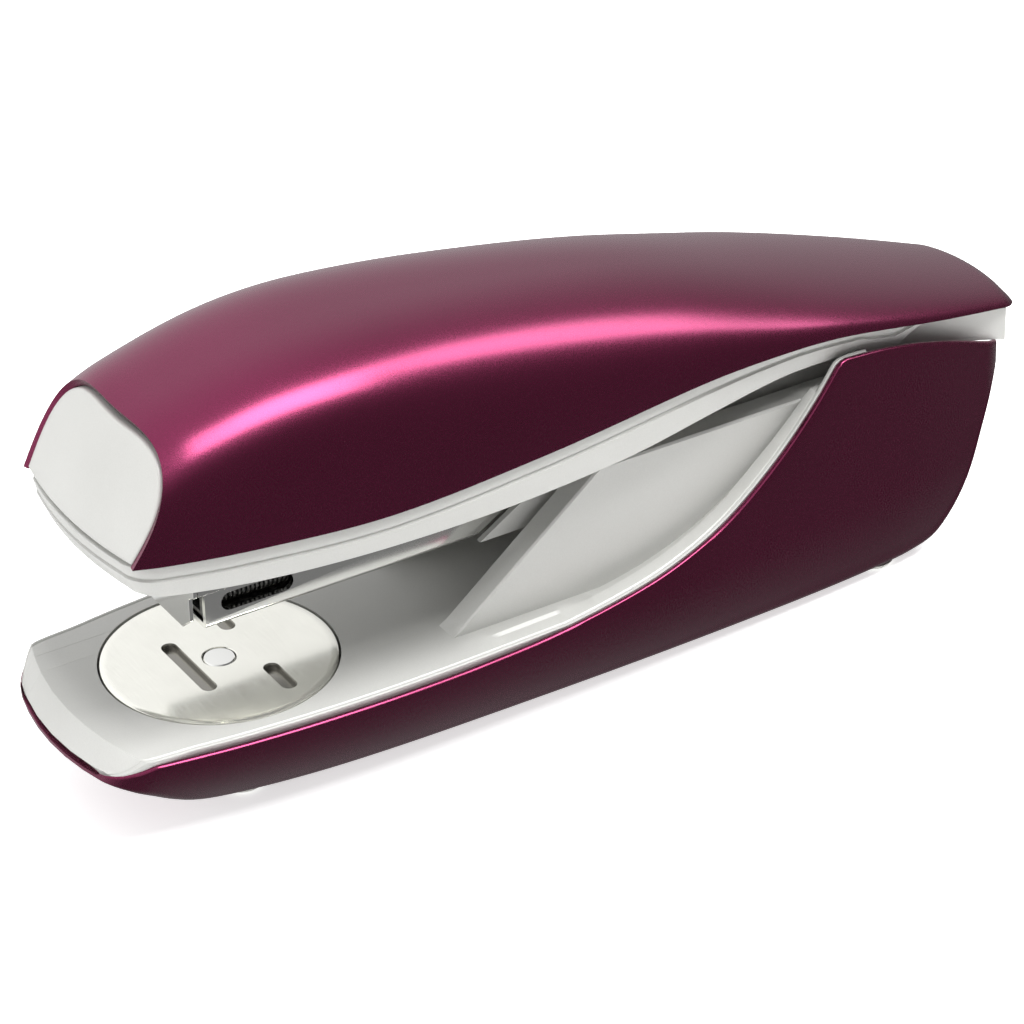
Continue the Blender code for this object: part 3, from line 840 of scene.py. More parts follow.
    def panel(self, x: float, z: float) -> float:
        """The raked, gently bowed front of the handle."""
        return self.cover_front + self.panel_bow * x * x + self.panel_rake * (z - self.panel_foot)


LINES = Lines()


# ---- sub-assemblies -----------------------------------------------------------------------
@dataclass
class PaintedCover:
    """The handle's painted metal dome."""

    lines: Lines = LINES
    stations: int = 170
    around: int = 96
    wall: float = 1.0
    tail_bow: float = 0.0136
    tail_round: float = 2.2

    def spot(self, s: float, turn: float) -> Point:
        """Point of the outer face, with the front rings leaning onto the panel's plane.

        Args:
            s: Ring's place along the length.
            turn: Direction round the section.

        Returns:
            The point.
        """
        lines = self.lines
        lean = 1 - ease((s - lines.cover_front) / 30.0)
        tail = ease((s - 60.0) / 17.8)
        y = s
        end = clamp((s - lines.cover_tail + self.tail_round) / self.tail_round)
        shrink = 1.5 * (1 - math.sqrt(1 - 0.94 * end * end))
        for _ in range(SETTLING):
            x, z = lines.dome(y, turn, shrink)
            y = s + lean * (lines.panel(x, z) - lines.cover_front) - tail * self.tail_bow * x * x
        return x, y, z

    def build(self) -> None:
        """Make the cover."""
        skin = Skin()
        rings = []
        long = self.lines.cover_tail - self.lines.cover_front
        for i in range(self.stations + 1):
            s = self.lines.cover_front + long * i / self.stations
            rings.append([self.spot(s, math.pi * k / self.around) for k in range(self.around + 1)])
        skin.loft(rings, closed=False)
        cover = SHOP.shape("cover", skin)
        if cover.data.polygons[len(cover.data.polygons) // 2].normal.z < 0:
            cover.data.flip_normals()
        wall = cover.modifiers.new("wall", "SOLIDIFY")
        wall.thickness, wall.offset, wall.use_even_offset = self.wall * MM, -1.0, True
        SHOP.settle(cover)
        SHOP.finish(cover, Finish.PAINT, Body.HANDLE, ["top_cover"], edge=0.3)


@dataclass
class FrontPanel:
    """The moulded panel in the cover's front opening."""

    lines: Lines = LINES
    margin: float = 0.98
    rolls: tuple[Flat, ...] = ((1.0, 1.4), (1.0, 0.2), (0.995, 0.06), (0.98, -0.02), (0.94, -0.06),
                               (0.85, -0.12), (0.7, -0.2), (0.5, -0.28), (0.3, -0.33),
                               (0.12, -0.35))

    def outline(self) -> list[Flat]:
        """Edge of the panel: the dome's arch and a nearly straight foot.

        Returns:
            Width and height of its points.
        """
        edge = []
        for k in range(73):
            turn = math.pi * k / 72
            y = -70.0
            inset = self.margin * (1 - 0.27 * math.sin(2 * turn) ** 2)
            for _ in range(SETTLING):
                x, z = self.lines.dome(y, turn, inset, 0.35)
                y = self.lines.panel(x, z)
            edge.append((x, z))
        foot = edge[0][1]
        across = between(edge[-1][0], edge[0][0], 20)[1:-1]
        return edge + [(x, foot - 0.02 * (1 - (x / edge[0][0]) ** 2)) for x in across]

    def build(self) -> None:
        """Make the panel."""
        edge = self.outline()
        middle = (0.0, (edge[36][1] + edge[0][1]) / 2)
        skin = Skin()
        rings = []
        for share, back in self.rolls:
            ring = []
            for x, z in edge:
                u, v = middle[0] + (x - middle[0]) * share, middle[1] + (z - middle[1]) * share
                ring.append((u, self.lines.panel(u, v) + 0.25 + back, v))
            rings.append(ring)
        rows = skin.loft(rings)
        hub = skin.ring([(0.0, self.lines.panel(0, middle[1]) - 0.1, middle[1])])[0]
        for i in range(len(rows[-1])):
            skin.faces.append((rows[-1][i], rows[-1][(i + 1) % len(rows[-1])], hub))
        back = skin.ring([(0.0, self.lines.panel(0, middle[1]) + 1.65, middle[1])])[0]
        for i in range(len(rows[0])):
            skin.faces.append((rows[0][i], rows[0][(i + 1) % len(rows[0])], back))
        SHOP.finish(SHOP.shape("panel", skin), Finish.MOULDING, Body.HANDLE, ["front_panel"],
                    sharp=50)


@dataclass
class HandleSkirt:
    """The moulded band under the cover, with its groove, and the web that closes it."""

    lines: Lines = LINES
    corner: float = 4.2
    front: float = -71.4
    tail: float = 73.5
    thick: float = 1.4
    bow: float = 0.0087
    clear: float = 14.4

    def bottom(self, y: float) -> float:
        """Lower edge of the skirt; near the pin it stays clear of the base while it turns.

        Args:
            y: Place along the length.

        Returns:
            Its height.
        """
        low = self.lines.skirt(min(y, 44.0))
        reach = self.clear ** 2 - (y - self.lines.pin[0]) ** 2
        if reach > 0:
            low = max(low - 0.35 * max(y - 44.0, 0.0), self.lines.pin[1] + math.sqrt(reach))
        if y > 64.0:
            low = max(low, self.lines.edge(y) - 2.2)
        return min(low, self.lines.edge(y) - 0.9)

    def width(self, y: float) -> float:
        """Half width of the skirt's outer face."""
        return self.lines.half(y) - self.lines.inset(y)

    def path(self) -> list[Flat]:
        """Plan of the outer face, from the right tail round the front to the left tail.

        Returns:
            The points.
        """
        reach = self.width(self.front + self.corner + 1.5) - self.corner
        start = self.front + self.corner + self.bow * reach * reach
        reach = self.width(start) - self.corner
        side = [(self.width(y), y) for y in between(self.tail, start + 0.6, 90)]
        turn = arc((reach, start), self.corner, 0, -90, 14)
        face = [(x, self.front + self.bow * x * x) for x in between(reach, 0.0, 14)[1:]]
        right = side + turn + face
        return right + [(-x, y) for x, y in reversed(right[:-1])]

    def section(self, x: float, y: float, out: Flat) -> list[Point]:
        """Cross section of the band at one place of its plan.

        Args:
            x: Place across.
            y: Place along the length.
            out: Unit vector pointing outwards in plan.

        Returns:
            The section's loop.
        """
        top, low = self.lines.edge(y) - 0.3, self.bottom(y)
        tall = top - low
        strip = min(1.9, 0.36 * tall)
        nip = min(0.3, 0.08 * tall)
        profile = [(-0.35, top), (-0.08, top - nip * 0.4), (0.0, top - nip), (0.0, top - strip),
                   (-0.28, top - strip - nip * 0.5), (-0.28, top - strip - nip * 1.2),
                   (0.12, top - strip - nip * 2.0), (0.14, top - strip - nip * 3.2),
                   (0.0, low + 0.22 * tall), (-0.12, low + 0.5 * nip + 0.1), (-0.45, low),
                   (-0.95, low), (-1.25, low + 0.5 * nip), (-self.thick, low + nip),
                   (-self.thick, top + 0.3), (-self.thick + 0.25, top + 0.6), (-1.05, top + 0.6),
                   (-1.0, top)]
        lean = 0.25 * clamp((-64.0 - y) / 5.0) * clamp(-out[1])
        return [(x + out[0] * o, y + out[1] * (o + lean * (z - low)), z) for o, z in profile]

    def band(self) -> None:
        """Make the band."""
        path = self.path()
        rings = []
        for i, (x, y) in enumerate(path):
            before, after = path[max(i - 1, 0)], path[min(i + 1, len(path) - 1)]
            along = Vector((after[0] - before[0], after[1] - before[1])).normalized()
            rings.append(self.section(x, y, (-along.y, along.x)))
        skin = Skin()
        rows = skin.loft(rings)
        skin.cap(rows[0])
        skin.cap(rows[-1])
        band = SHOP.shape("skirt", skin)
        SHOP.finish(band, Finish.MOULDING, Body.HANDLE, ["handle_frame"], sharp=38)

    def web(self) -> None:
        """Make the web that closes the band above the magazine."""
        skin = Skin()
        rings = []
        for y in between(-66.0, 68.0, 70):
            rise = min(1.5, 0.2 * (self.lines.crown(y) - self.lines.edge(y)))
            half, top = self.width(y) - self.thick + 0.05, self.lines.edge(y) + rise
            rings.append([(-half, y, top - 1.2), (half, y, top - 1.2), (half, y, top),
                          (-half, y, top)])
        rows = skin.loft(rings)
        skin.cap(rows[0])
        skin.cap(rows[-1])
        SHOP.finish(SHOP.shape("web", skin), Finish.MOULDING, Body.HANDLE, edge=0.15)

    def cheeks(self) -> None:
        """Make the two cheeks that fill the gap to the base beside the hinge."""
        upper = [(y, self.lines.edge(y) - 0.5) for y in between(74.6, 47.6, 24)]
        lower = [(y, 35.2 - 3.4 * clamp((y - 62.0) / 12.6)) for y in between(47.6, 74.6, 24)]
        for side, low, high in (("left", -10.8, -10.0), ("right", 10.0, 10.8)):
            cheek = Skin().prism(upper + lower, low, high, lambda u, v, w: (w, u, v))
            piece = SHOP.shape(f"hinge_cheek_{side}", cheek)
            SHOP.finish(piece, Finish.MOULDING, Body.HANDLE, edge=0.15)

    def build(self) -> None:
        """Make the band, the web and the cheeks."""
        self.band()
        self.web()
        self.cheeks()


@dataclass
class BaseShell:
    """The painted metal tub with the swept upper edge."""

    lines: Lines = LINES
    wall: float = 1.0
    crest: float = 40.3
    dip: Flat = (39.6, 41.3)

    def stations(self) -> list[float]:
        """Places of the cross sections, close together where the shape turns.

        Returns:
            The places along the length.
        """
        nose = [self.lines.nose + 8.0 * (i / 26) ** 2 for i in range(26)]
        middle = between(-69.8, 39.0, 74)
        corner = [39.6, 40.0, 40.25, 40.5, 40.8, 41.3]
        rear = between(42.0, 60.0, 14)
        tail = [self.lines.tail - 15.0 * (1 - i / 40) ** 1.6 for i in range(41)]
        return nose + middle + corner + rear + tail

    def half_section(self, s: float) -> list[Flat]:
        """Outer face from the keel to the rim, then the inner face back to the keel.

        Args:
            s: Place along the length.

        Returns:
            Width and height of its points.
        """
        low, top = self.lines.keel(s), self.lines.rim(s)
        if self.dip[0] < s < self.dip[1]:
            top -= 0.35 * (1 - abs(s - self.crest))
        tall = top - low
        soft, lip = min(2.2, 0.3 * tall), min(0.5, 0.3 * tall)
        wide = self.lines.hull
        foot = wide(s, low)

        def side(inset: float, base: float) -> list[Flat]:
            """One face of the wall, from the keel's centre up to below the rim.

            Args:
                inset: How far inside the outer face.
                base: Height of its lowest point.

            Returns:
                Its points.
            """
            flat = max(foot - inset - soft * 0.8, 0.5)
            start, end = (flat, base), (wide(s, base + soft) - inset, base + soft)
            elbow = (max(foot - inset, flat + 0.01) + 0.25 * soft, base + 0.02)
            line = [(flat * f, base) for f in (0.0, 0.35, 0.7)]
            for i in range(7):
                t = i / 6
                line.append(tuple((1 - t) ** 2 * a + 2 * t * (1 - t) * b + t * t * c
                                  for a, b, c in zip(start, elbow, end)))
            for i in range(1, 19):
                z = base + soft + (top - lip - base - soft) * i / 18
                line.append((wide(s, z) - inset, z))
            return line

        outer = side(0.0, low)
        inner = side(self.wall, low + min(self.wall, 0.45 * tall))
        edge = wide(s, top)
        crest = [(edge - 0.05 * self.wall, top - 0.45 * lip),
                 (edge - 0.2 * self.wall, top - 0.12 * lip),
                 (edge - 0.42 * self.wall, top)]
        back = [(edge - 0.58 * self.wall, top), (edge - 0.8 * self.wall, top - 0.12 * lip),
                (edge - 0.95 * self.wall, top - 0.45 * lip)]
        return outer + crest + back + inner[::-1]

    def build(self) -> None:
        """Make the shell and cut the notch for the handle's tail."""
        rings = []
        for s in self.stations():
            half = self.half_section(s)
            loop = half + [(-x, z) for x, z in reversed(half)][1:-1]
            rings.append([(x, s + self.lines.bow(s) * x * x, z) for x, z in loop])
        skin = Skin()
        count = len(self.half_section(0.0))
        rows = skin.loft(rings)
        for row in (rows[0], rows[-1]):
            skin.fold(row[:count])
            skin.fold([row[0]] + list(reversed(row[count:])) + [row[count - 1]])
        shell = SHOP.shape("shell", skin)
        notch = arc((-8.4, 20.5), 2.5, 180, 270, 6) + arc((8.4, 20.5), 2.5, 270, 360, 6)
        notch += [(10.9, 50.0), (-10.9, 50.0)]
        SHOP.carve(shell, [Skin().prism(notch, 66.5, 90.0, lambda u, v, w: (u, w, v))])
        SHOP.finish(shell, Finish.PAINT, Body.BASE, ["base_shell"], sharp=34)


@dataclass
class DeckTray:
    """The moulded deck, its sloping lip, the ramped hinge cheeks and the swept side ledges."""

    lines: Lines = LINES
    cheek_in: float = 10.0
    cheek_out: float = 14.0
    cheek_top: float = 35.5
    ramp: Flat = (-22.4, 0.80)
    tail: float = 45.6
    ledge_top: float = 37.4

    def floor(self, s: float) -> float:
        """Height of the deck: flat, with a lip sloping down to the nose."""
        return self.lines.deck - 3.1 * clamp((-74.9 - s) / 2.5) ** 1.1

    def fit(self, s: float, z: float) -> float:
        """Half width that meets the shell: inside its wall, and at the nose part way into it."""
        return self.lines.hull(s, z) - self.lines.wall * (1 - 0.45 * ease((-66.0 - s) / 8.0))

    def half_section(self, s: float) -> list[Flat]:
        """Top face from the centre to the shell, then the underside back.

        Args:
            s: Place along the length.

        Returns:
            Width and height of its points.
        """
        floor = self.floor(s)
        side = self.fit(s, floor) - 0.05
        rim = self.lines.rim(s)
        ledge = max(floor, min(rim, self.ledge_top))
        lift = ease((s + 26.0) / 12.0)
        cheek = max(floor, min(self.lines.deck + (s - self.ramp[0]) * self.ramp[1], self.cheek_top))
        out = min(self.cheek_out, side - 2.2)
        brow = max(side - 3.0, out + 0.8)
        trough = max(floor, ledge - 1.2 * lift)
        brink = max(ledge, min(rim - 0.1, 41.6))
        top = [(0.0, floor), (self.cheek_in * 0.5, floor), (self.cheek_in - 0.25, floor),
               (self.cheek_in, floor + 0.01), (self.cheek_in, max(cheek - 0.3, floor + 0.02)),
               (self.cheek_in + 0.25, cheek),
               (out - 0.3, max(cheek, trough)), (out - 0.02, max(cheek - 0.3, trough)),
               (out, trough + 0.02), (brow - 0.5, trough + 0.35 * lift + 0.03),
               (brow, ledge + 0.03),
               (side - 0.9, ledge + 0.05), (side - 0.7, brink - 0.1), (side - 0.5, brink + 0.06),
               (side - 0.15, brink + 0.06), (side, brink - 0.1)]
        thin = 1.5
        under = floor - thin
        low_side = min(side, self.fit(s, under) - 0.1)
        hollow = max(under, cheek - thin)
        ridge = max(under, trough - thin)
        below = [(low_side, ridge), (out - 0.9, ridge), (out - 1.3, max(hollow, ridge)),
                 (self.cheek_in + 1.3, max(hollow, under)), (self.cheek_in + 1.1, under),
                 (0.0, under)]
        return top + below

    def stations(self) -> list[float]:
        """Places of the cross sections."""
        return (between(-77.45, -73.8, 20) + between(-73.2, -23.0, 40)
                + between(-22.4, 1.6, 24) + between(2.4, self.tail, 44))

    def build(self) -> None:
        """Make the tray and open the anvil's seat in it."""
        rings = []
        for s in self.stations():
            half = self.half_section(s)
            loop = half + [(-x, z) for x, z in reversed(half)][1:-1]
            rings.append([(x, s + self.lines.bow(s) * x * x, z) for x, z in loop])
        skin = Skin()
        rows = skin.loft(rings)
        skin.cap(rows[0])
        skin.cap(rows[-1])
        tray = SHOP.shape("deck_tray", skin)
        hole = [(self.lines.anvil_r + 0.28, 8.0), (self.lines.anvil_r + 0.28, 19.0)]
        SHOP.carve(tray, [Skin().turned(hole, (0.0, self.lines.anvil_y, 0.0), 144)])
        SHOP.finish(tray, Finish.MOULDING, Body.BASE, ["base_inlay"], sharp=30)


@dataclass
class Anvil:
    """The turning plate with its folding grooves, and its rivet."""

    lines: Lines = LINES
    pairs: tuple[tuple[float, float, float], ...] = ((-4.7, -6.9, 6.9), (4.7, 5.2, 12.4))
    groove: float = 2.3

    def pocket(self, y: float, near: float, far: float) -> Skin:
        """One groove with rounded ends.

        Args:
            y: Its place along the length.
            near: End near the middle.
            far: End away from the middle.

        Returns:
            The cutter.
        """
        r = self.groove / 2
        low, high = min(near, far) + r, max(near, far) - r
        loop = arc((high, y), r, -90, 90, 12) + arc((low, y), r, 90, 270, 12)
        return Skin().prism(loop, self.lines.deck - 0.9, self.lines.deck + 2,
                            lambda u, v, w: (u, v, w))

    def build(self) -> None:
        """Make the plate and the rivet."""
        deck, y, r = self.lines.deck, self.lines.anvil_y, self.lines.anvil_r
        bore, under = 2.38, -1.5
        profile = [(bore, under), (r - 0.3, under), (r, -1.2), (r, -0.28), (r - 0.08, -0.1),
                   (r - 0.3, 0.0), (r - 1.2, 0.0), (9.0, 0.0), (4.0, 0.0), (bore + 0.12, 0.0),
                   (bore, -0.12), (bore, under)]
        skin = Skin()
        sides = 144
        rings = [[(a * math.cos(t), y + a * math.sin(t), deck + h) for t in
                  (2 * math.pi * i / sides for i in range(sides))] for a, h in profile]
        skin.loft(rings)
        plate = SHOP.shape("anvil_plate", skin)
        cuts = []
        for offset, near, far in self.pairs:
            for side in (-1, 1) if near > 0 else (1,):
                cuts.append(self.pocket(y + offset, side * near, side * far))
        SHOP.carve(plate, cuts)
        SHOP.finish(plate, Finish.PLATE, Body.ANVIL, ["anvil_disc"], edge=0.22)
        head = [(0.6, -11.0), (1.7, -11.0), (1.7, -3.2), (2.25, -3.0), (2.25, -0.2), (2.1, 0.0),
                (1.2, 0.03), (0.3, 0.04)]
        rivet = Skin().turned(head, (0.0, y, deck), 72)
        SHOP.finish(SHOP.shape("anvil_pin", rivet), Finish.STEEL, Body.BASE, ["anvil_rivet"])


@dataclass
class Magazine:
    """The bright staple channel with its window, the plate at its mouth and the grey fin."""

    half: float = 7.5
    sheet: float = 0.8
    low: float = 26.2
    high: float = 35.5
    front: float = -56.9
    rear: float = 45.4
    window: tuple[float, float, float, float] = (-48.9, 29.6, 4.15, 1.4)

    def channel(self) -> None:
        """Make the outer channel with bent lower corners."""
        r = 0.9
        h, t = self.half, self.sheet
        left, right = (-h + r, self.low + r), (h - r, self.low + r)
        outer = [(-h, self.high)] + arc(left, r, 180, 270, 5) + arc(right, r, 270, 360, 5)
        inner = arc(right, r - t + 0.05, 360, 270, 5) + arc(left, r - t + 0.05, 270, 180, 5)
        inner = [(clamp(x, -h + t, h - t), max(z, self.low + t)) for x, z in inner]
        loop = outer + [(h, self.high), (h - t, self.high)] + inner + [(-h + t, self.high)]
        piece = SHOP.shape("channel", Skin().prism(loop, self.front, self.rear,
                                                   lambda u, v, w: (u, w, v)))
        SHOP.carve(piece, [self.slot()])
        SHOP.finish(piece, Finish.STEEL, Body.MAGAZINE, ["magazine_channel"], edge=0.12)

    def slot(self) -> Skin:
        """The window's cutter.

        Returns:
            The cutter, right through the channel.
        """
        y, z, reach, r = self.window
        loop = arc((y - reach, z), r, 90, 270, 14) + arc((y + reach, z), r, -90, 90, 14)
        return Skin().prism(loop, -14.0, 14.0, lambda u, v, w: (w, u, v))

    def mouth(self) -> None:
        """Make the plate that closes the staple slot."""
        loop = [(-4.6, 26.0), (4.6, 26.0), (7.0, 28.0), (7.0, 31.6), (8.5, 32.4), (8.5, 35.5),
                (-8.5, 35.5), (-8.5, 32.4), (-7.0, 31.6), (-7.0, 28.0)]
        piece = SHOP.shape("mouth_plate", Skin().prism(loop, -59.0, -58.4,
                                                       lambda u, v, w: (u, w, v)))
        SHOP.finish(piece, Finish.STEEL, Body.MAGAZINE, ["front_plate"], edge=0.12)
        for side, low, high in (("left", -8.5, -7.9), ("right", 7.9, 8.5)):
            wing = [(-58.3, 32.4), (-51.6, 32.4), (-51.0, 33.0), (-51.0, 35.5), (-58.3, 35.5)]
            piece = SHOP.shape(f"mouth_wing_{side}",
                               Skin().prism(wing, low, high, lambda u, v, w: (w, u, v)))
            SHOP.finish(piece, Finish.STEEL, Body.MAGAZINE, edge=0.1)

    def fin(self) -> None:
        """Make the grey carrier."""
        pin = LINES.pin
        base = [(-14.6, 26.2), (-6.8, 26.2), (-5.4, 26.6), (-4.2, 27.6), (-3.0, 29.0), (-1.8, 30.2),
                (-0.8, 30.8), (0.6, 31.0), (46.0, 31.0), (54.0, 25.0)]
        ear = arc(pin, 5.6, 190, 420, 30)
        top = [(50.0, 34.4), (48.0, 36.8), (5.0, 36.8), (4.0, 35.5), (0.4, 35.5)]
        across = lambda u, v, w: (w, u, v)
        piece = SHOP.shape("fin", Skin().prism(base + ear + top, -8.7, 8.7, across))
        block = [(-30.0, 0.0), (80.0, 0.0), (80.0, 35.8), (-30.0, 35.8)]
        gap = [(48.0, 0.0), (80.0, 0.0), (80.0, 50.0), (48.0, 50.0)]
        bore = arc(pin, 2.3, 0, 355, 40)
        SHOP.carve(piece, [Skin().prism(block, -7.8, 7.8, across),
                           Skin().prism(gap, -7.75, 7.75, across),
                           Skin().prism(bore, -15.0, 15.0, across)])
        SHOP.finish(piece, Finish.MOULDING, Body.MAGAZINE, ["magazine_carrier"], edge=0.2)

    def build(self) -> None:
        """Make every piece of the magazine."""
        self.channel()
        self.mouth()
        self.fin()


class NodeTree:
    """A Geometry Nodes tree with named inputs that ends in plain mesh with a material."""

    def __init__(self, name: str, inputs: dict[str, tuple[str, Any]]) -> None:
        """Start the tree.

        Args:
            name: Its name.
            inputs: Socket types and defaults by input name.
        """
        self.tree = bpy.data.node_groups.new(name, "GeometryNodeTree")
        for key, (kind, default) in inputs.items():
            made = self.tree.interface.new_socket(name=key, in_out="INPUT", socket_type=kind)
            if default is not None:
                made.default_value = default
        self.tree.interface.new_socket(name="Geometry", in_out="OUTPUT",
                                       socket_type="NodeSocketGeometry")
        self.source = self.tree.nodes.new("NodeGroupInput")
        self.sink = self.tree.nodes.new("NodeGroupOutput")

    def add(self, kind: str, settings: dict[str, Any] | None = None,
            **links: Any) -> bpy.types.Node:
        """Add a node.

        Args:
            kind: Its type.
            settings: Its properties.
            links: Values or output sockets for its inputs, with underscores for spaces.

        Returns:
            The node.
        """
        node = self.tree.nodes.new(kind)
        for key, value in (settings or {}).items():
            setattr(node, key, value)
        for key, value in links.items():
            socket = node.inputs[key.replace("_", " ")]
            if isinstance(value, bpy.types.NodeSocket):
                self.tree.links.new(value, socket)
            else:
                socket.default_value = value
        return node

    def close(self, geometry: bpy.types.NodeSocket) -> bpy.types.NodeTree:
        """End the tree.

        Args:
            geometry: The geometry to show.

        Returns:
            The finished tree.
        """
        real = self.add("GeometryNodeRealizeInstances", None, Geometry=geometry)
        smooth = self.add("GeometryNodeSetShadeSmooth", None, Geometry=real.outputs[0])
        dressed = self.add("GeometryNodeSetMaterial", None, Geometry=smooth.outputs[0],
                           Material=self.source.outputs["Material"])
        self.tree.links.new(dressed.outputs[0], self.sink.inputs[0])
        return self.tree


def grow(name: str, tree: bpy.types.NodeTree, values: dict[str, Any]) -> bpy.types.Object:
    """Run a tree and keep its result as a plain object.

    Args:
        name: The object's name.
        tree: The Geometry Nodes tree.
        values: Its inputs by name.

    Returns:
        The object.
    """
    piece = bpy.data.objects.new(name, bpy.data.meshes.new(name))
    bpy.context.scene.collection.objects.link(piece)
    rule = piece.modifiers.new("rule", "NODES")
    rule.node_group = tree
    for socket in tree.interface.items_tree:
        if socket.in_out == "INPUT" and socket.name in values:
            rule[socket.identifier] = values[socket.name]
    SHOP.settle(piece)
    return piece


@dataclass
class Springs:
    """The three wound springs, made by one tree."""

    sides: int = 10

    def tree(self) -> bpy.types.NodeTree:
        """Tree that winds wire about an axis.

        Returns:
            The tree.
        """
        made = NodeTree("winding", {
            "Radius": ("NodeSocketFloat", 0.003), "Wire": ("NodeSocketFloat", 0.0004),
            "Length": ("NodeSocketFloat", 0.01), "Turns": ("NodeSocketFloat", 5.0),
            "Place": ("NodeSocketVector", (0.0, 0.0, 0.0)),
            "Turn": ("NodeSocketVector", (0.0, 0.0, 0.0)),
            "Widen": ("NodeSocketVector", (1.0, 1.0, 1.0)),
            "Material": ("NodeSocketMaterial", None)})
        out = made.source.outputs
        coil = made.add("GeometryNodeCurveSpiral", None, Resolution=28, Rotations=out["Turns"],
                        Start_Radius=out["Radius"], End_Radius=out["Radius"], Height=out["Length"])
        wire = made.add("GeometryNodeCurvePrimitiveCircle", None, Resolution=self.sides,
                        Radius=out["Wire"])
        oval = made.add("GeometryNodeTransform", None, Geometry=coil.outputs[0], Scale=out["Widen"])
        tube = made.add("GeometryNodeCurveToMesh", None, Curve=oval.outputs[0],
                        Profile_Curve=wire.outputs[0],
                        Fill_Caps=True)
        placed = made.add("GeometryNodeTransform", None, Geometry=tube.outputs[0],
                          Translation=out["Place"],
                          Rotation=out["Turn"])
        return made.close(placed.outputs[0])

    def build(self) -> None:
        """Wind the springs."""
        tree = self.tree()
        pin = LINES.pin
        windings = (
            ("lift_coil", Body.BASE, "lift_spring", Along.Z, (0, 6, 16.8), 3.6, 0.42, 8.6, 5.0),
            ("pusher_coil", Body.MAGAZINE, "pusher_spring", Along.Y, (0, -55.0, 30.0), 1.75, 0.3,
             43.0, 46.0),
            ("return_coil", Body.MAGAZINE, "return_spring", Along.X, (-4, pin[0], pin[1]), 3.0,
             0.38, 8.0, 8.0),
        )
        for name, body, node, along, start, radius, wire, length, turns in windings:
            piece = grow(name, tree, {
                "Radius": radius * MM, "Wire": wire * MM, "Length": length * MM, "Turns": turns,
                "Place": tuple(c * MM for c in start), "Turn": along.value,
                "Material": Finish.WIRE.material})
            SHOP.finish(piece, Finish.WIRE, body, [node])
        guide = grow("guide_coil", tree, {
            "Radius": 2.1 * MM, "Wire": 0.24 * MM, "Length": 11.0 * MM, "Turns": 16.0,
            "Place": (0.0, -54.4 * MM, 29.6 * MM), "Turn": Along.Y.value, "Widen": (2.93, 1.0, 1.0),
            "Material": Finish.WIRE.material})
        SHOP.finish(guide, Finish.WIRE, Body.MAGAZINE)


@dataclass
class Feet:
    """Four soft feet, made by one tree."""

    spots: tuple[tuple[str, float, float], ...] = (
        ("front_left", -7.4, -53.0), ("front_right", 7.4, -53.0), ("rear_left", -8.6, 53.0),
        ("rear_right", 8.6, 53.0))

    def tree(self) -> bpy.types.NodeTree:
        """Tree that makes one foot: a low drum, narrower where it meets the desk.

        Returns:
            The tree.
        """
        made = NodeTree("foot", {
            "Radius": ("NodeSocketFloat", 0.0033), "Height": ("NodeSocketFloat", 0.0007),
            "Place": ("NodeSocketVector", (0.0, 0.0, 0.0)),
            "Material": ("NodeSocketMaterial", None)})
        out = made.source.outputs
        drum = made.add("GeometryNodeMeshCone", None, Vertices=48, Radius_Top=out["Radius"],
                        Radius_Bottom=0.0028, Depth=out["Height"])
        placed = made.add("GeometryNodeTransform", None, Geometry=drum.outputs[0],
                          Translation=out["Place"])
        return made.close(placed.outputs[0])

    def build(self) -> None:
        """Place the feet."""
        tree = self.tree()
        for name, x, y in self.spots:
            piece = grow(f"soft_foot_{name}", tree, {
                "Radius": 3.3 * MM, "Height": 0.7 * MM, "Place": (x * MM, y * MM, 0.0),
                "Material": Finish.RUBBER.material})
            SHOP.finish(piece, Finish.RUBBER, Body.BASE, [f"foot_{name}"], edge=0.15)


@dataclass
class InnerWorks:
    """Pieces whose CAD shape is right: they only get their finish."""

    looks: dict[Finish, tuple[str, ...]] = field(default_factory=lambda: {
        Finish.STEEL: ("chassis", "pivot_pin", "base_screw", "pusher", "driver_arm", "driver_blade",
                       "blade_rivet", "spring_anchor", "frame_screw_front", "frame_screw_rear"),
        Finish.WIRE: ("pin_clip_left", "pin_clip_right", "anvil_spring", "staple_rail"),
        Finish.MOULDING: ("anvil_seat",)})

    def build(self) -> None:
        """Dress the pieces."""
        for look, names in self.looks.items():
            for name in names:
                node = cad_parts[name]
                for slot in node.material_slots:
                    slot.material = look.material
                LOG.info("%s keeps its shape, in %s", name, look.value[0].name)


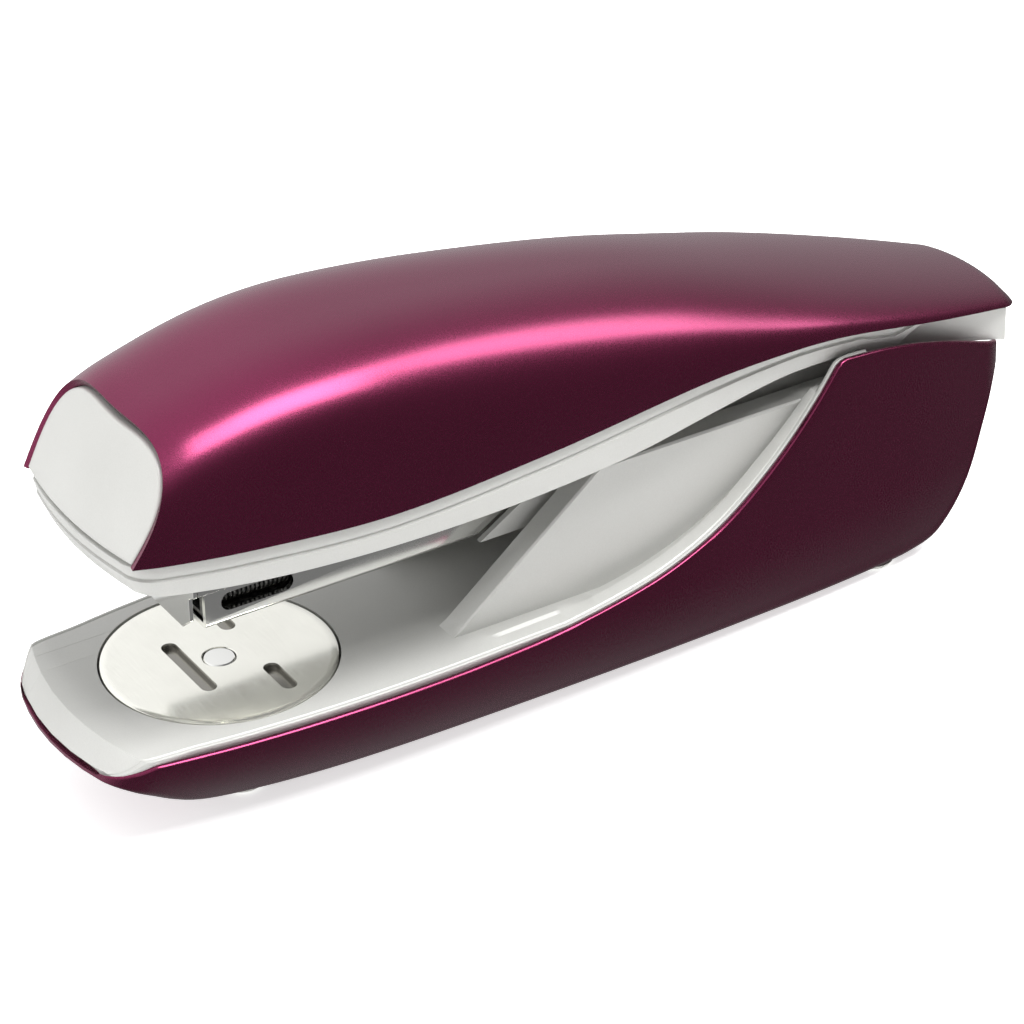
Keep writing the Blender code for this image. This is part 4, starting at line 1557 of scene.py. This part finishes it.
@dataclass
class Studio:
    """Pale floor, soft lights and the camera."""

    azimuth: float = 58.94
    elevation: float = 31.24
    roll: float = -1.39
    distance: float = 587.6
    aim: Point = (0.0, -4.1, 23.2)
    lens: float = 146.0
    bright_side: Point = (-0.62, -0.55, 0.55)

    def camera(self) -> None:
        """Stand the camera where the view is right."""
        a, e, r = (math.radians(v) for v in (self.azimuth, self.elevation, self.roll))
        back = Vector((math.sin(a) * math.cos(e), -math.cos(a) * math.cos(e), math.sin(e)))
        right = Vector((math.cos(a), math.sin(a), 0.0))
        up = back.cross(right)
        side, top = right * math.cos(r) + up * math.sin(r), up * math.cos(r) - right * math.sin(r)
        eye = bpy.data.objects.new("camera", bpy.data.cameras.new("camera"))
        eye.data.lens, eye.data.sensor_width = self.lens, 36.0
        eye.data.clip_start, eye.data.clip_end = 0.01, 20.0
        turn = Matrix((side, top, back)).transposed().to_4x4()
        eye.matrix_world = Matrix.Translation((Vector(self.aim) + back * self.distance) * MM) @ turn
        bpy.context.scene.collection.objects.link(eye)
        bpy.context.scene.camera = eye

    def light(self, name: str, toward: Point, away: float, size: Flat, glow: float,
              long: Point) -> None:
        """Add a soft box.

        Args:
            name: Its name.
            toward: Direction from the stapler to it.
            away: Its distance, in metres.
            size: Width and length, in metres.
            glow: Its brightness, one being a white card.
            long: Direction of its length.
        """
        back = Vector(toward).normalized()
        along = (Vector(long) - back * Vector(long).dot(back)).normalized()
        across = along.cross(back)
        lamp = bpy.data.objects.new(name, bpy.data.lights.new(name, "AREA"))
        lamp.data.shape, lamp.data.size, lamp.data.size_y = "RECTANGLE", *size
        lamp.data.energy = glow * math.pi * size[0] * size[1]
        lamp.matrix_world = (Matrix.Translation(Vector((0, 0, 0.04)) + back * away)
                             @ Matrix((across, along, back)).transposed().to_4x4())
        bpy.context.scene.collection.objects.link(lamp)

    def floor(self) -> None:
        """Lay the floor."""
        skin = Skin()
        steps = between(-6000, 6000, 8)
        skin.loft([[(x, y, -0.05) for x in steps] for y in steps], closed=False)
        plane = SHOP.shape("floor", skin)
        if plane.data.polygons[0].normal.z < 0:
            plane.data.flip_normals()
        graph = Graph("floor_paper")
        grain = graph.noise(graph.place(), 60.0, 2.0)
        tint = graph.blend(grain, (0.86, 0.86, 0.86, 1.0), (0.90, 0.90, 0.90, 1.0))
        plane.data.materials.append(graph.dress(Base_Color=tint, Roughness=0.9,
                                                Specular_IOR_Level=0.0,
                                                Emission_Color=tint, Emission_Strength=0.7))
        plane.visible_glossy = False

    def world(self) -> None:
        """Surround the stapler with light from the far side and dark from the near side."""
        sky = bpy.data.worlds.new("studio")
        sky.use_nodes = True
        tree = sky.node_tree
        spot = tree.nodes.new("ShaderNodeTexCoord")
        facing = tree.nodes.new("ShaderNodeVectorMath")
        facing.operation = "DOT_PRODUCT"
        facing.inputs[1].default_value = Vector(self.bright_side).normalized()
        fade = tree.nodes.new("ShaderNodeMapRange")
        for key, value in {"From Min": -0.2, "From Max": 0.75, "To Min": 0.2,
                           "To Max": 1.2}.items():
            fade.inputs[key].default_value = value
        tree.links.new(spot.outputs["Generated"], facing.inputs[0])
        tree.links.new(facing.outputs["Value"], fade.inputs["Value"])
        tree.links.new(fade.outputs["Result"], tree.nodes["Background"].inputs["Strength"])
        tree.nodes["Background"].inputs["Color"].default_value = (1.0, 1.0, 1.0, 1.0)
        bpy.context.scene.world = sky

    def build(self) -> None:
        """Set the stage."""
        bpy.context.scene.view_settings.view_transform = "Standard"
        self.world()
        self.floor()
        self.light("ridge_box_front", (0.31, 0.13, 0.94), 1.2, (0.56, 0.66), 14.0, (0.0, 1.0, -0.3))
        self.light("ridge_box_rear", (0.1, 0.62, 0.77), 1.2, (0.42, 0.6), 8.0, (-0.48, 0.81, -0.37))
        self.light("fill_box", (0.8, -0.55, 0.2), 1.2, (0.8, 0.5), 0.3, (0.0, 0.0, 1.0))
        bpy.data.objects["fill_box"].visible_glossy = False
        self.camera()


def main() -> None:
    """Build the stapler's looks in order and note how many pieces were shaped."""
    logging.basicConfig(level=logging.INFO, format="%(name)s: %(message)s")
    for part in (BaseShell(), DeckTray(), Anvil(), Magazine(), Springs(), Feet(), PaintedCover(),
                 FrontPanel(),
                 HandleSkirt(), InnerWorks(), Studio()):
        part.build()
        LOG.info("%s done", type(part).__name__)
    LOG.info("%d pieces shaped, besides the springs and feet", len(SHOP.made))


if __name__ == "__main__":
    main()
